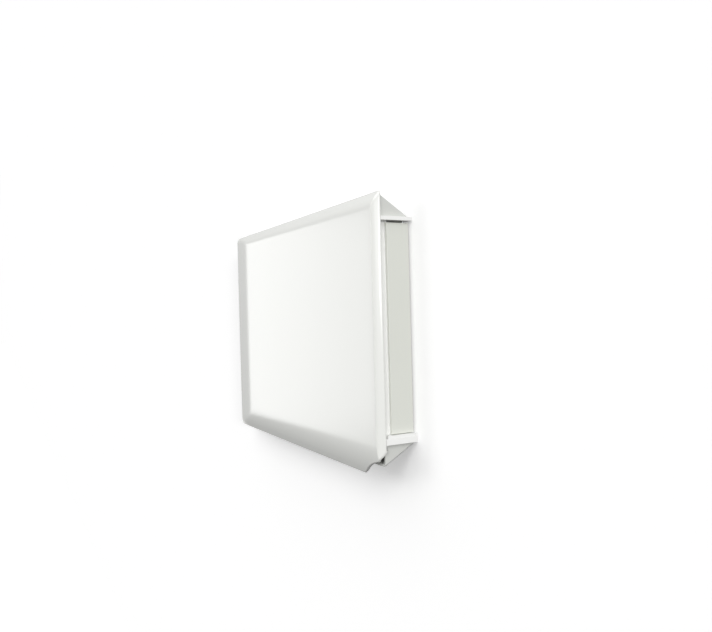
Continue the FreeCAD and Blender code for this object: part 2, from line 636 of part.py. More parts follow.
def feed_tongues():
    tongues = []
    foot_y = PLATE_FRONT_Y - BOARD_THICK
    z0 = PLATE_Z - TONGUE_WIDTH / 2
    z1 = PLATE_Z + TONGUE_WIDTH / 2
    for side in (-1, 1):
        edge = PLATE_X + side * (PATCH_PITCH / 2 - PATCH / 2 + 6)
        leg = PLATE_X + side * (FEED_WIDTH / 2 - 4)
        blade = box(min(edge, leg), max(edge, leg), PATCH_Y, PATCH_Y + TONGUE_THICK, z0, z1)
        post = box(min(leg, leg + side * TONGUE_THICK), max(leg, leg + side * TONGUE_THICK), PATCH_Y, foot_y, z0, z1)
        tongues.append(fuse([blade, post]))
    return tongues


# ---- reader board and what is wired to it -------------------------------------------------
def reader_board():
    board = box(READER_LEFT, READER_RIGHT, READER_Y, READER_BACK_Y, READER_LOW, READER_HIGH)
    return cut(board, [rod_y(x, z, READER_Y - 1, READER_BACK_Y + 1, SCREW_R) for x, z in READER_PLACES])


def board_screws():
    return [screw_y(x, z, READER_Y, READER_BACK_Y + 3) for x, z in READER_PLACES]


def shield_can():
    x0 = CAN_X - CAN_WIDTH / 2
    z0 = CAN_Z - CAN_TALL / 2
    outer = box(x0, x0 + CAN_WIDTH, READER_Y - CAN_HIGH, READER_Y, z0, z0 + CAN_TALL)
    inner = box(x0 + CAN_WALL, x0 + CAN_WIDTH - CAN_WALL, READER_Y - CAN_HIGH + CAN_WALL, READER_Y + 1,
                z0 + CAN_WALL, z0 + CAN_TALL - CAN_WALL)
    return outer.cut(inner)


def reader_chips():
    high = 3.0
    places = [(CAN_X - 18, CAN_Z, 14), (CAN_X + 16, CAN_Z + 8, 18), (CAN_X + 16, CAN_Z - 16, 10)]
    return [box(x - s / 2, x + s / 2, READER_Y - high, READER_Y, z - s / 2, z + s / 2) for x, z, s in places]


def capacitors():
    low = READER_LOW + 14
    return [rod_y(READER_RIGHT - 20 - 16 * n, low, READER_Y - 12, READER_Y, 6.0) for n in range(3)]


def choke():
    x = READER_LEFT + 80
    z = READER_LOW + 16
    ring = rod_y(x, z, READER_Y - 8, READER_Y, 11.0)
    return ring.cut(rod_y(x, z, READER_Y - 9, READER_Y + 1, 5.0))


PLUG_X = READER_LEFT + 15


def coax_plug():
    half = PLUG_SIZE / 2
    body = box(PLUG_X - half, PLUG_X + half, READER_Y - PLUG_SIZE - 1, READER_Y, PLATE_Z - half, PLATE_Z + half)
    barrel = rod_x(READER_Y - COAX_RUN_Y, PLATE_Z, PLUG_X + half, PLUG_X + half + 5, COAX_R + 1.2)
    return fuse([body, barrel]).cut(rod_x(READER_Y - COAX_RUN_Y, PLATE_Z, PLUG_X + half, PLUG_X + half + 6, COAX_R))


def antenna_coax():
    line_y = READER_Y - COAX_RUN_Y
    route = [V(PLATE_X, PLATE_FRONT_Y - BOARD_THICK, PLATE_Z), V(PLATE_X, line_y, PLATE_Z),
             V(PLUG_X + PLUG_SIZE / 2, line_y, PLATE_Z)]
    return tube_along(route, COAX_R)


HEADER = 8.0
HEADER_HIGH = 9.0
HEADER_Z = {"ethernet": 8.0, "power": -36.0}


def board_headers():
    return [box(READER_RIGHT - HEADER, READER_RIGHT, READER_Y - HEADER_HIGH, READER_Y, z - HEADER, z + HEADER)
            for z in HEADER_Z.values()]


def port_lead(z_board, z_port, port_back, r):
    """Lead from a header on the reader board to the back of a socket on the port plate."""
    y = READER_Y - HEADER_HIGH / 2
    span = port_back - READER_RIGHT
    route = [V(READER_RIGHT, y, z_board), V(READER_RIGHT + span * 0.34, y, z_board),
             V(READER_RIGHT + span * 0.66, y, z_port), V(port_back, y, z_port)]
    return tube_along(route, r)


def sounder():
    body = rod_y(SOUNDER_X, SOUNDER_Z, FLOOR_Y - SOUNDER_HIGH, FLOOR_Y, SOUNDER_R)
    return body.cut(rod_y(SOUNDER_X, SOUNDER_Z, FLOOR_Y - SOUNDER_HIGH - 1, FLOOR_Y - SOUNDER_HIGH + 1.5, 3.0))


def sounder_lead():
    y = READER_BACK_Y - BOARD_THICK / 2
    start_x = SOUNDER_X + SOUNDER_R
    span = READER_LEFT - start_x
    z_end = SOUNDER_Z + 10
    route = [V(start_x, y, SOUNDER_Z), V(start_x + span * 0.34, y, SOUNDER_Z),
             V(start_x + span * 0.66, y, z_end), V(READER_LEFT, y, z_end)]
    return tube_along(route, BOARD_THICK / 2)


# ---- service bay: port plate, sockets, switch and button ----------------------------------
ETHERNET = (13.6, 16.0, 20.0)                # across, tall, deep
DC = (10.0, 11.0, 14.0)
ROCKER_BODY = (13.0, 20.0, 16.0)
BEZEL = 1.5
SWITCH_DEEP = 7.0
LENS_DEEP = 5.0
PORT_NUT_R = 4.0
PORT_THREAD_R = 3.1


def port_box(size, z, proud, fit):
    wide = size[0] / 2 + fit
    tall = size[1] / 2 + fit
    return box(PORT_FACE_X + proud - size[2], PORT_FACE_X + proud, PORT_MID_Y - wide, PORT_MID_Y + wide,
               z - tall, z + tall)


def lens_places():
    return [(PORT_MID_Y + n * LENS_PITCH, LENS_Z) for n in (-1, 0, 1)]


def port_plate():
    plate = box(PORT_BACK_X, PORT_FACE_X, BAY_FRONT_IN_Y, -TRAY_BACK, BAY_BOTTOM, BAY_TOP)
    holes = [port_box(ETHERNET, ETHERNET_Z, 1.0, 0), port_box(DC, DC_Z, 1.0, 0),
             port_box(ROCKER_BODY, ROCKER_Z, 1.0, 0),
             rod_x(PORT_MID_Y, RESET_Z, PORT_BACK_X - 1, PORT_FACE_X + 1, RESET_R + PORT_FIT)]
    for z in ANTENNA_PORT_Z:
        holes.append(rod_x(PORT_MID_Y, z, PORT_BACK_X - 1, PORT_FACE_X + 1, PORT_THREAD_R))
    for y, z in lens_places():
        holes.append(rod_x(y, z, PORT_BACK_X - 1, PORT_FACE_X + 1, LENS_R))
    for z in PORT_SCREW_Z:
        holes.append(rod_x(PORT_MID_Y, z, PORT_BACK_X - 1, PORT_FACE_X + 1, SCREW_R))
    return cut(plate, holes)


def port_screws():
    screws = []
    for z in PORT_SCREW_Z:
        head = rod_x(PORT_MID_Y, z, PORT_FACE_X, PORT_FACE_X + SCREW_HEAD, SCREW_HEAD_R)
        slot = box(PORT_FACE_X + SCREW_HEAD - 0.8, PORT_FACE_X + SCREW_HEAD + 1, PORT_MID_Y - 2, PORT_MID_Y + 2,
                   z - 0.4, z + 0.4)
        screws.append(fuse([head, rod_x(PORT_MID_Y, z, PORT_BACK_X - 4, PORT_FACE_X, SCREW_R)]).cut(slot))
    return screws


def ethernet_socket():
    body = port_box(ETHERNET, ETHERNET_Z, 1.0, 0)
    mouth = box(PORT_FACE_X - 11, PORT_FACE_X + 2, PORT_MID_Y - 5, PORT_MID_Y + 3, ETHERNET_Z - 6, ETHERNET_Z + 6)
    key = box(PORT_FACE_X - 11, PORT_FACE_X + 2, PORT_MID_Y + 3, PORT_MID_Y + 5, ETHERNET_Z - 3, ETHERNET_Z + 3)
    return cut(body, [mouth, key])


def dc_socket():
    body = port_box(DC, DC_Z, 1.0, 0)
    hole = rod_x(PORT_MID_Y, DC_Z, PORT_FACE_X - 9, PORT_FACE_X + 2, 3.0)
    pin = rod_x(PORT_MID_Y, DC_Z, PORT_FACE_X - 9, PORT_FACE_X, 1.0)
    return fuse([body.cut(hole), pin])


def antenna_ports():
    ports = []
    for z in ANTENNA_PORT_Z:
        thread = rod_x(PORT_MID_Y, z, PORT_BACK_X - 6, PORT_FACE_X + 8, PORT_THREAD_R)
        nut = rod_x(PORT_MID_Y, z, PORT_FACE_X, PORT_FACE_X + 2, PORT_NUT_R)
        bore = rod_x(PORT_MID_Y, z, PORT_FACE_X + 2, PORT_FACE_X + 9, 2.2)
        pin = rod_x(PORT_MID_Y, z, PORT_FACE_X, PORT_FACE_X + 6, 0.6)
        ports.append(fuse([fuse([thread, nut]).cut(bore), pin]))
    return ports


ROCKER_AXIS_X = PORT_FACE_X - 1.5


def rocker_housing():
    body = port_box(ROCKER_BODY, ROCKER_Z, 0.0, 0)
    half_y = ROCKER_BODY[0] / 2 + 1
    half_z = ROCKER_BODY[1] / 2 + 1
    bezel = box(PORT_FACE_X, PORT_FACE_X + BEZEL, PORT_MID_Y - half_y, PORT_MID_Y + half_y,
                ROCKER_Z - half_z, ROCKER_Z + half_z)
    room_y = ROCKER_WIDTH / 2 + PORT_FIT
    room_z = ROCKER_TALL / 2 + 1.0
    room = box(PORT_FACE_X - 10, PORT_FACE_X + BEZEL + 1, PORT_MID_Y - room_y, PORT_MID_Y + room_y,
               ROCKER_Z - room_z, ROCKER_Z + room_z)
    pivot = Part.makeCylinder(ROCKER_PIN_R + RUN_FIT, ROCKER_WIDTH + 2.4,
                              V(ROCKER_AXIS_X, PORT_MID_Y - ROCKER_WIDTH / 2 - 1.2, ROCKER_Z), Y_AXIS)
    return cut(fuse([body, bezel]), [room, pivot])


def power_rocker():
    half = ROCKER_TALL / 2
    profile = [(-4, -3), (2.4, -half), (4.4, -half), (3.4, 0), (4.4, half), (2.4, half), (-4, 3), (-4, -3)]
    y0 = PORT_MID_Y - ROCKER_WIDTH / 2
    points = [V(ROCKER_AXIS_X + x, y0, ROCKER_Z + z) for x, z in profile]
    key = prism(Part.makePolygon(points), ROCKER_WIDTH)
    pins = Part.makeCylinder(ROCKER_PIN_R, ROCKER_WIDTH + 2.0, V(ROCKER_AXIS_X, y0 - 1.0, ROCKER_Z), Y_AXIS)
    body = fuse([key, pins])
    body.rotate(V(ROCKER_AXIS_X, 0, ROCKER_Z), Y_AXIS, -ROCKER_TILT)
    return body


def reset_switch():
    out = PORT_BACK_X - 0.5
    half = 3.5
    return box(out - SWITCH_DEEP, PORT_BACK_X, PORT_MID_Y - half, PORT_MID_Y + half, RESET_Z - half, RESET_Z + half).cut(
        rod_x(PORT_MID_Y, RESET_Z, out, PORT_BACK_X + 1, RESET_R + PORT_FIT))


def reset_button():
    back = PORT_BACK_X - 0.5 + RESET_TRAVEL + TOUCH_GAP
    return rod_x(PORT_MID_Y, RESET_Z, back, PORT_FACE_X + 2.0, RESET_R)


def status_lenses():
    return [rod_x(y, z, PORT_FACE_X - LENS_DEEP, PORT_FACE_X + 0.6, LENS_R) for y, z in lens_places()]


# ---- write the nodes ----------------------------------------------------------------------
def build_nodes():
    ethernet_back = PORT_FACE_X + 1.0 - ETHERNET[2]
    dc_back = PORT_FACE_X + 1.0 - DC[2]
    nodes = {
        "front_cover": front_cover(),
        "cover_studs": cover_studs(),
        "stud_grips": stud_grips(),
        "cover_seal": cover_seal(),
        "rear_tray": rear_tray(),
        "end_frame": end_frame(),
        "frame_screws": frame_screws(),
        "door_sill": door_sill(),
        "side_door": side_door(),
        "hinge_pins": hinge_pins(),
        "door_strikes": door_strikes(),
        "door_magnets": door_magnets(),
        "entry_grommet": entry_grommet(),
        "wall_bracket": wall_bracket(),
        "retaining_screws": retaining_screws(),
        "ground_plate": ground_plate(),
        "plate_screws": plate_screws(),
        "patch_spacers": patch_spacers(),
        "patch_screws": patch_screws(),
        "feed_board": feed_board(),
        "feed_tongues": feed_tongues(),
        "reader_board": reader_board(),
        "board_screws": board_screws(),
        "shield_can": shield_can(),
        "reader_chips": reader_chips(),
        "capacitors": capacitors(),
        "choke": choke(),
        "coax_plug": coax_plug(),
        "antenna_coax": antenna_coax(),
        "board_headers": board_headers(),
        "ethernet_lead": port_lead(HEADER_Z["ethernet"], ETHERNET_Z, ethernet_back, HARNESS_R),
        "power_lead": port_lead(HEADER_Z["power"], DC_Z, dc_back, LEAD_R),
        "sounder": sounder(),
        "sounder_lead": sounder_lead(),
        "port_plate": port_plate(),
        "port_screws": port_screws(),
        "ethernet_socket": ethernet_socket(),
        "dc_socket": dc_socket(),
        "antenna_ports": antenna_ports(),
        "rocker_housing": rocker_housing(),
        "power_rocker": power_rocker(),
        "reset_switch": reset_switch(),
        "reset_button": reset_button(),
        "status_lenses": status_lenses(),
    }
    for name, x in PATCH_X.items():
        nodes[name] = patch(x)
    return nodes


def write_nodes():
    os.makedirs("parts", exist_ok=True)
    for name, shape in build_nodes().items():
        if isinstance(shape, list):
            shape = Part.makeCompound(shape)
        print(name, len(shape.Solids), "solids", round(shape.Volume, 1), "mm3", shape.isValid())
        shape.exportStep("parts/" + name + ".step")


write_nodes()
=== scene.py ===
import bpy
import bmesh
import json
import math
from mathutils import Matrix, Vector


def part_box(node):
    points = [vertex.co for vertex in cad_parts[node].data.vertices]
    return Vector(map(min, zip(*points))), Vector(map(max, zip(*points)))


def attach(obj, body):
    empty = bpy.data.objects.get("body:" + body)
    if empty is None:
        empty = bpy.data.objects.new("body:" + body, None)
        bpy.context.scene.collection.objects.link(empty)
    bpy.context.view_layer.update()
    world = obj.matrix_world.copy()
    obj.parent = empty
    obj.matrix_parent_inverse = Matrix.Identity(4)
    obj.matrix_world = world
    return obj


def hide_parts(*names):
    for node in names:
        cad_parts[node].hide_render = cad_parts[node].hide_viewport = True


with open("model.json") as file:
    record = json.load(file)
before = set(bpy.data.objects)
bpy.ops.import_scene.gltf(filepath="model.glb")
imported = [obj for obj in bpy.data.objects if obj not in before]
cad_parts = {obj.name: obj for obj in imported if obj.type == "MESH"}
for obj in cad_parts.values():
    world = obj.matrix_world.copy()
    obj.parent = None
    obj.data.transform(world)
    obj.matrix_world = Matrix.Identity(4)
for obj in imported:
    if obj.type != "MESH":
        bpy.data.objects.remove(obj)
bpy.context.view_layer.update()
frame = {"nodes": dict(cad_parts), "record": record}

# ---- Camera -------------------------------------------------------------------------------
# A level camera to the right of the unit and a little above its middle, turned so that the front
# runs steeply away to the left. It is tilted a degree and a half, as a camera held by hand is.
CAMERA_PLACE = Vector((0.8498, -0.3908, 0.0238))
CAMERA_AZIMUTH = math.radians(62.39)
CAMERA_DROP = math.radians(0.21)
CAMERA_ROLL = math.radians(-1.58)
CAMERA_LENS = 34.77

camera_data = bpy.data.cameras.new("camera")
camera_data.lens = CAMERA_LENS
camera_data.clip_start = 0.01
camera = bpy.data.objects.new("camera", camera_data)
bpy.context.scene.collection.objects.link(camera)
level = Matrix.Rotation(CAMERA_AZIMUTH, 4, "Z") @ Matrix.Rotation(math.pi / 2 - CAMERA_DROP, 4, "X")
camera.matrix_world = Matrix.Translation(CAMERA_PLACE) @ level @ Matrix.Rotation(CAMERA_ROLL, 4, "Z")
bpy.context.scene.camera = camera
bpy.context.scene.view_settings.view_transform = "Standard"


# ---- Wall, floor and light ----------------------------------------------------------------
# A pale wall behind the unit and a pale floor below it. The wall shows only from its front, so
# that the unit can be seen from behind too.
FLOOR_Z = -1.1
STAGE_REACH = 40.0
WALL_GAP = 0.0006
STAGE_WHITE = (0.94, 0.94, 0.94)
STAGE_GLOW = 0.275


def new_material(name):
    """New material, its node tree and its Principled shader."""
    material = bpy.data.materials.new(name)
    material.use_nodes = True
    tree = material.node_tree
    return material, tree, tree.nodes["Principled BSDF"]


def feed(tree, node, inputs):
    """Links each input, by its name or number, to a socket, or gives it a plain value."""
    for name, value in inputs.items():
        if isinstance(value, bpy.types.NodeSocket):
            tree.links.new(value, node.inputs[name])
        else:
            node.inputs[name].default_value = value


def wired(tree, kind, inputs=None, **settings):
    """New node with its settings made first and its inputs fed after."""
    node = tree.nodes.new(kind)
    for name, value in settings.items():
        setattr(node, name, value)
    feed(tree, node, inputs or {})
    return node


def stage_sheet(name, corners, material):
    mesh = bpy.data.meshes.new(name)
    mesh.from_pydata(corners, [], [(0, 1, 2, 3)])
    sheet = bpy.data.objects.new(name, mesh)
    mesh.materials.append(material)
    bpy.context.scene.collection.objects.link(sheet)
    return sheet


def stage_material():
    """Plain pale surface with a little glow. Only the camera sees it, and only from its front."""
    material, tree, shader = new_material("pale stage")
    tree.nodes.remove(shader)
    diffuse = wired(tree, "ShaderNodeBsdfDiffuse", {"Color": (*STAGE_WHITE, 1)})
    glow = wired(tree, "ShaderNodeEmission", {"Strength": STAGE_GLOW})
    lit = wired(tree, "ShaderNodeAddShader", {0: diffuse.outputs[0], 1: glow.outputs[0]})
    clear = wired(tree, "ShaderNodeBsdfTransparent")
    path = wired(tree, "ShaderNodeLightPath")
    geometry = wired(tree, "ShaderNodeNewGeometry")
    front = wired(tree, "ShaderNodeMath", {
        0: path.outputs["Is Camera Ray"], 1: geometry.outputs["Backfacing"]},
        operation="SUBTRACT", use_clamp=True)
    mix = wired(tree, "ShaderNodeMixShader", {
        "Fac": front.outputs[0], 1: clear.outputs[0], 2: lit.outputs[0]})
    tree.links.new(mix.outputs[0], tree.nodes["Material Output"].inputs["Surface"])
    return material


pale = stage_material()
reach = STAGE_REACH
wall_corners = [(-reach, WALL_GAP, FLOOR_Z), (reach, WALL_GAP, FLOOR_Z), (reach, WALL_GAP, reach),
                (-reach, WALL_GAP, reach)]
floor_corners = [(-reach, -reach, FLOOR_Z), (reach, -reach, FLOOR_Z), (reach, reach, FLOOR_Z),
                 (-reach, reach, FLOOR_Z)]
wall = stage_sheet("wall", wall_corners, pale)
stage_sheet("floor", floor_corners, pale)

# Soft room light that fades from overhead down to the floor. The glossy front reflects a tall panel
# on the far left, and three suns stand for the room's windows and lamps. Angles are in degrees.
SKY_MIDDLE = 0.43
SKY_TILT = 0.46
KEY = {"azimuth": 48, "height": 32, "spread": 26, "strength": 0.84}
FILL = {"azimuth": 76, "height": 7, "spread": 7, "strength": 1.05}
LEFT = {"azimuth": -35, "height": 16, "spread": 26, "strength": 0.45}
PANEL_PLACE = (-2.64, -1.42, -0.02)
PANEL_SIZE = (1.42, 1.6)
PANEL_POWER = 10.8
PLAIN_WHITE = (1.0, 1.0, 1.0, 1.0)

world = bpy.data.worlds.new("studio")
bpy.context.scene.world = world
world.use_nodes = True
sky = world.node_tree
direction = wired(sky, "ShaderNodeTexCoord")
split = wired(sky, "ShaderNodeSeparateXYZ", {0: direction.outputs["Generated"]})
strength = wired(sky, "ShaderNodeMath", {0: split.outputs["Z"], 1: SKY_TILT, 2: SKY_MIDDLE},
                 operation="MULTIPLY_ADD")
room = sky.nodes["Background"]
room.inputs["Color"].default_value = PLAIN_WHITE
sky.links.new(strength.outputs[0], room.inputs["Strength"])
backdrop = wired(sky, "ShaderNodeBackground", {"Color": PLAIN_WHITE})
seen = wired(sky, "ShaderNodeLightPath")
choice = wired(sky, "ShaderNodeMixShader", {
    "Fac": seen.outputs["Is Camera Ray"], 1: room.outputs[0], 2: backdrop.outputs[0]})
sky.links.new(choice.outputs[0], sky.nodes["World Output"].inputs["Surface"])


def sun_light(name, azimuth, height, spread, strength):
    """Sun at an azimuth counted from straight ahead of the front towards its right."""
    data = bpy.data.lights.new(name, "SUN")
    data.energy = strength
    data.angle = math.radians(spread)
    light = bpy.data.objects.new(name, data)
    a, e = math.radians(azimuth), math.radians(height)
    toward = Vector((math.sin(a) * math.cos(e), -math.cos(a) * math.cos(e), math.sin(e)))
    light.matrix_world = toward.to_track_quat("Z", "Y").to_matrix().to_4x4()
    bpy.context.scene.collection.objects.link(light)


sun_light("key", **KEY)
sun_light("fill", **FILL)
sun_light("left", **LEFT)
panel = bpy.data.lights.new("panel", "AREA")
panel.shape = "RECTANGLE"
panel.size, panel.size_y = PANEL_SIZE
panel.energy = PANEL_POWER
panel_light = bpy.data.objects.new("panel", panel)
facing = Vector((1, 0, 0)).to_track_quat("-Z", "Z")
panel_light.matrix_world = Matrix.Translation(PANEL_PLACE) @ facing.to_matrix().to_4x4()
panel_light.visible_camera = False
bpy.context.scene.collection.objects.link(panel_light)

# The panel would leave a step of light across the wall, so it does not light the wall.
unlit = bpy.data.collections.new("not lit by the panel")
unlit.objects.link(wall)
unlit.collection_objects[0].light_linking.link_state = "EXCLUDE"
panel_light.light_linking.receiver_collection = unlit


# ---- Rear tray ----------------------------------------------------------------------------
# Tapered back of the casing, injection moulded in off-white plastic with a fine spark texture.
# The antenna and the reader board stand on posts inside it, and it hooks over the wall bracket.
BODIES = frame["record"]["behaviour"]["bodies"]
BODY_OF = {node: body for body, nodes in BODIES.items() for node in nodes}
SLOT_OF = {part["node"]: part["material_slot"] for part in frame["record"]["subparts"]}
MERGE_REACH = 1e-6
FLAT_ANGLE = math.radians(0.8)
SHARP_ANGLE = math.radians(38)
TRAY_EDGE = 0.0007


def add_piece(name, mesh, material, body, slot, *stands_for):
    """Finished piece on its body. Without a material, the mesh keeps its own."""
    piece = bpy.data.objects.new(name, mesh)
    if material is not None:
        mesh.materials.clear()
        mesh.materials.append(material)
    bpy.context.scene.collection.objects.link(piece)
    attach(piece, body)
    if stands_for:
        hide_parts(*stands_for)
    return piece


def flatten(piece):
    """Applies a piece's modifiers and leaves a plain mesh."""
    bpy.context.view_layer.update()
    evaluated = piece.evaluated_get(bpy.context.evaluated_depsgraph_get())
    mesh = bpy.data.meshes.new_from_object(evaluated)
    bpy.data.objects.remove(piece)
    return mesh


def merged_mesh(node, flat_angle=None):
    """Copy of a CAD node's mesh with its loose triangles joined, and flat areas made one face."""
    mesh = frame["nodes"][node].data.copy()
    bm = bmesh.new()
    bm.from_mesh(mesh)
    bmesh.ops.remove_doubles(bm, verts=bm.verts, dist=MERGE_REACH)
    if flat_angle is not None:
        bmesh.ops.dissolve_limit(bm, angle_limit=flat_angle, verts=bm.verts, edges=bm.edges)
    bm.to_mesh(mesh)
    bm.free()
    mesh.shade_smooth()
    return mesh


def eased_mesh(node, edge, segments=2):
    """A CAD node's mesh with its sharp edges rounded, as a mould or a press leaves them."""
    piece = bpy.data.objects.new(node + "_blank", merged_mesh(node, FLAT_ANGLE))
    bpy.context.scene.collection.objects.link(piece)
    bevel = piece.modifiers.new("edge", "BEVEL")
    bevel.width = edge
    bevel.segments = segments
    bevel.limit_method = "ANGLE"
    bevel.angle_limit = SHARP_ANGLE
    bevel.use_clamp_overlap = True
    flats = piece.modifiers.new("flats", "WEIGHTED_NORMAL")
    flats.mode = "FACE_AREA"
    flats.weight = 100
    return flatten(piece)


def eased_piece(node, edge, material):
    return add_piece(node + "_part", eased_mesh(node, edge), material, BODY_OF[node], SLOT_OF[node], node)


def group_sockets(tree, inputs, outputs):
    """Adds a node group's named inputs, with their usual values, and its named outputs."""
    for name, kind, value in inputs:
        socket = tree.interface.new_socket(name, in_out="INPUT", socket_type=kind)
        socket.default_value = value
    for name, kind in outputs:
        tree.interface.new_socket(name, in_out="OUTPUT", socket_type=kind)


def math_node(tree, kind, a, b, clamp=False):
    """Result of a Math node on two values, each a number or a socket."""
    return wired(tree, "ShaderNodeMath", {0: a, 1: b}, operation=kind, use_clamp=clamp).outputs[0]


def noise_node(tree, scale, detail, vector):
    """Noise from 0 to 1, with its scale given as a number or a socket."""
    return wired(tree, "ShaderNodeTexNoise", {
        "Scale": scale, "Detail": detail, "Vector": vector}).outputs["Fac"]


def about_middle(tree, value, amount):
    """Noise moved to swing about zero, by the amount."""
    return math_node(tree, "MULTIPLY", math_node(tree, "SUBTRACT", value, 0.5), amount)


def above(tree, value, start, rise):
    """Zero up to the start, then a climb to one at the given rate."""
    return math_node(tree, "MULTIPLY", math_node(tree, "SUBTRACT", value, start, True), rise, True)


def shaded(tree, colour, shade):
    """Colour multiplied by one value."""
    grey = wired(tree, "ShaderNodeCombineColor", {"Red": shade, "Green": shade, "Blue": shade})
    tint = wired(tree, "ShaderNodeMix", {"Factor": 1.0, "A": colour, "B": grey.outputs[0]},
                 data_type="RGBA", blend_type="MULTIPLY")
    return tint.outputs["Result"]


SURFACE_OUTPUTS = [("Colour", "NodeSocketColor"), ("Roughness", "NodeSocketFloat"),
                   ("Height", "NodeSocketFloat")]
MOTTLE_SCALE = 14.0
SPECK_SCALE = 260.0
RIPPLE_SCALE = 55.0
SCUFF_TURN = (0.3, 0.2, 0.5)
SCUFF_STRETCH = (22.0, 60.0, 700.0)
SCUFF_START, SCUFF_RISE = 0.62, 4.0
DUST_START, DUST_RISE = 0.45, 1.6
DUST_BASE = 0.3
DUST_SHADE = 0.5
DUST_ROUGHNESS = 0.6


def moulded_group():
    """Moulded plastic: slow colour mottle, dust on upward faces, fine scuffs and a spark grain."""
    tree = bpy.data.node_groups.new("moulded surface", "ShaderNodeTree")
    group_sockets(tree, [
        ("Colour", "NodeSocketColor", (0.8, 0.8, 0.8, 1)), ("Mottle", "NodeSocketFloat", 0.03),
        ("Dust", "NodeSocketFloat", 0.2), ("Gloss", "NodeSocketFloat", 0.3),
        ("Scuff", "NodeSocketFloat", 0.15), ("Grain", "NodeSocketFloat", 1400.0),
        ("Ripple", "NodeSocketFloat", 0.3)], SURFACE_OUTPUTS)
    given = wired(tree, "NodeGroupInput").outputs
    place = wired(tree, "ShaderNodeTexCoord").outputs["Object"]
    stretch = wired(tree, "ShaderNodeMapping", {
        "Vector": place, "Rotation": SCUFF_TURN, "Scale": SCUFF_STRETCH})
    scratch = above(tree, noise_node(tree, 1.0, 5.0, stretch.outputs["Vector"]), SCUFF_START, SCUFF_RISE)

    geometry = wired(tree, "ShaderNodeNewGeometry")
    up = wired(tree, "ShaderNodeSeparateXYZ", {0: geometry.outputs["Normal"]})
    settled = above(tree, up.outputs["Z"], DUST_START, DUST_RISE)
    settled = math_node(tree, "MULTIPLY", settled, given["Dust"])
    speck = noise_node(tree, SPECK_SCALE, 4.0, place)
    dust = math_node(tree, "MULTIPLY", settled, math_node(tree, "ADD", speck, DUST_BASE))

    mottle = about_middle(tree, noise_node(tree, MOTTLE_SCALE, 3.0, place), given["Mottle"])
    loss = math_node(tree, "ADD", math_node(tree, "MULTIPLY", dust, DUST_SHADE), mottle)
    shade = math_node(tree, "SUBTRACT", 1.0, loss)
    rough = math_node(tree, "ADD", given["Gloss"], math_node(tree, "MULTIPLY", scratch, given["Scuff"]))
    rough = math_node(tree, "ADD", rough, math_node(tree, "MULTIPLY", dust, DUST_ROUGHNESS), True)
    ripple = math_node(tree, "MULTIPLY", noise_node(tree, RIPPLE_SCALE, 2.0, place), given["Ripple"])
    height = math_node(tree, "ADD", noise_node(tree, given["Grain"], 2.0, place), ripple)
    colour = shaded(tree, given["Colour"], shade)
    wired(tree, "NodeGroupOutput", {"Colour": colour, "Roughness": rough, "Height": height})
    return tree


MOULDED = moulded_group()
MOULDED_BUMP = 0.6
COAT_ROUGHNESS = 0.18


def finished_material(name, group, values, bump_strength, bump_depth):
    """Material that takes its colour, roughness and relief from a surface group."""
    material, tree, shader = new_material(name)
    surface = wired(tree, "ShaderNodeGroup", values, node_tree=group)
    bump = wired(tree, "ShaderNodeBump", {
        "Strength": bump_strength, "Distance": bump_depth, "Height": surface.outputs["Height"]})
    feed(tree, shader, {"Normal": bump.outputs["Normal"], "Base Color": surface.outputs["Colour"],
                        "Roughness": surface.outputs["Roughness"]})
    return material, shader


def plastic(name, colour, gloss, grain=1400.0, grain_depth=0.00003, mottle=0.03, dust=0.2, scuff=0.15,
            ripple=0.3, coat=0.0):
    values = {"Colour": (*colour, 1), "Mottle": mottle, "Dust": dust, "Gloss": gloss, "Scuff": scuff,
              "Grain": grain, "Ripple": ripple}
    material, shader = finished_material(name, MOULDED, values, MOULDED_BUMP, grain_depth)
    shader.inputs["Coat Weight"].default_value = coat
    shader.inputs["Coat Roughness"].default_value = COAT_ROUGHNESS
    return material


TRAY_PLASTIC = plastic("tray plastic", (0.66, 0.67, 0.64), gloss=0.48, grain=1900, grain_depth=0.00006)
eased_piece("rear_tray", TRAY_EDGE, TRAY_PLASTIC)

# ---- Sounder ------------------------------------------------------------------------------
# Round black piezo sounder in the tray, with its sound hole to the front. It beeps when a tag
# passes, and its lead runs to the reader board.
SOUNDER_BLACK = plastic("sounder black", (0.025, 0.025, 0.027), gloss=0.42, grain=2400, grain_depth=0.00004)
eased_piece("sounder", 0.0006, SOUNDER_BLACK)

# ---- Wall bracket and retaining screws ----------------------------------------------------
# Pressed steel plate, zinc plated, that four wall screws hold. Two hooks carry the tray, and two
# screws from inside the tray keep it from lifting off.
LINE_CONTRAST = 0.12
LINE_ROUGHNESS = 0.08
METAL_BUMP = 0.5
METAL_RELIEF = 0.000006
METAL_SMUDGE = 0.2


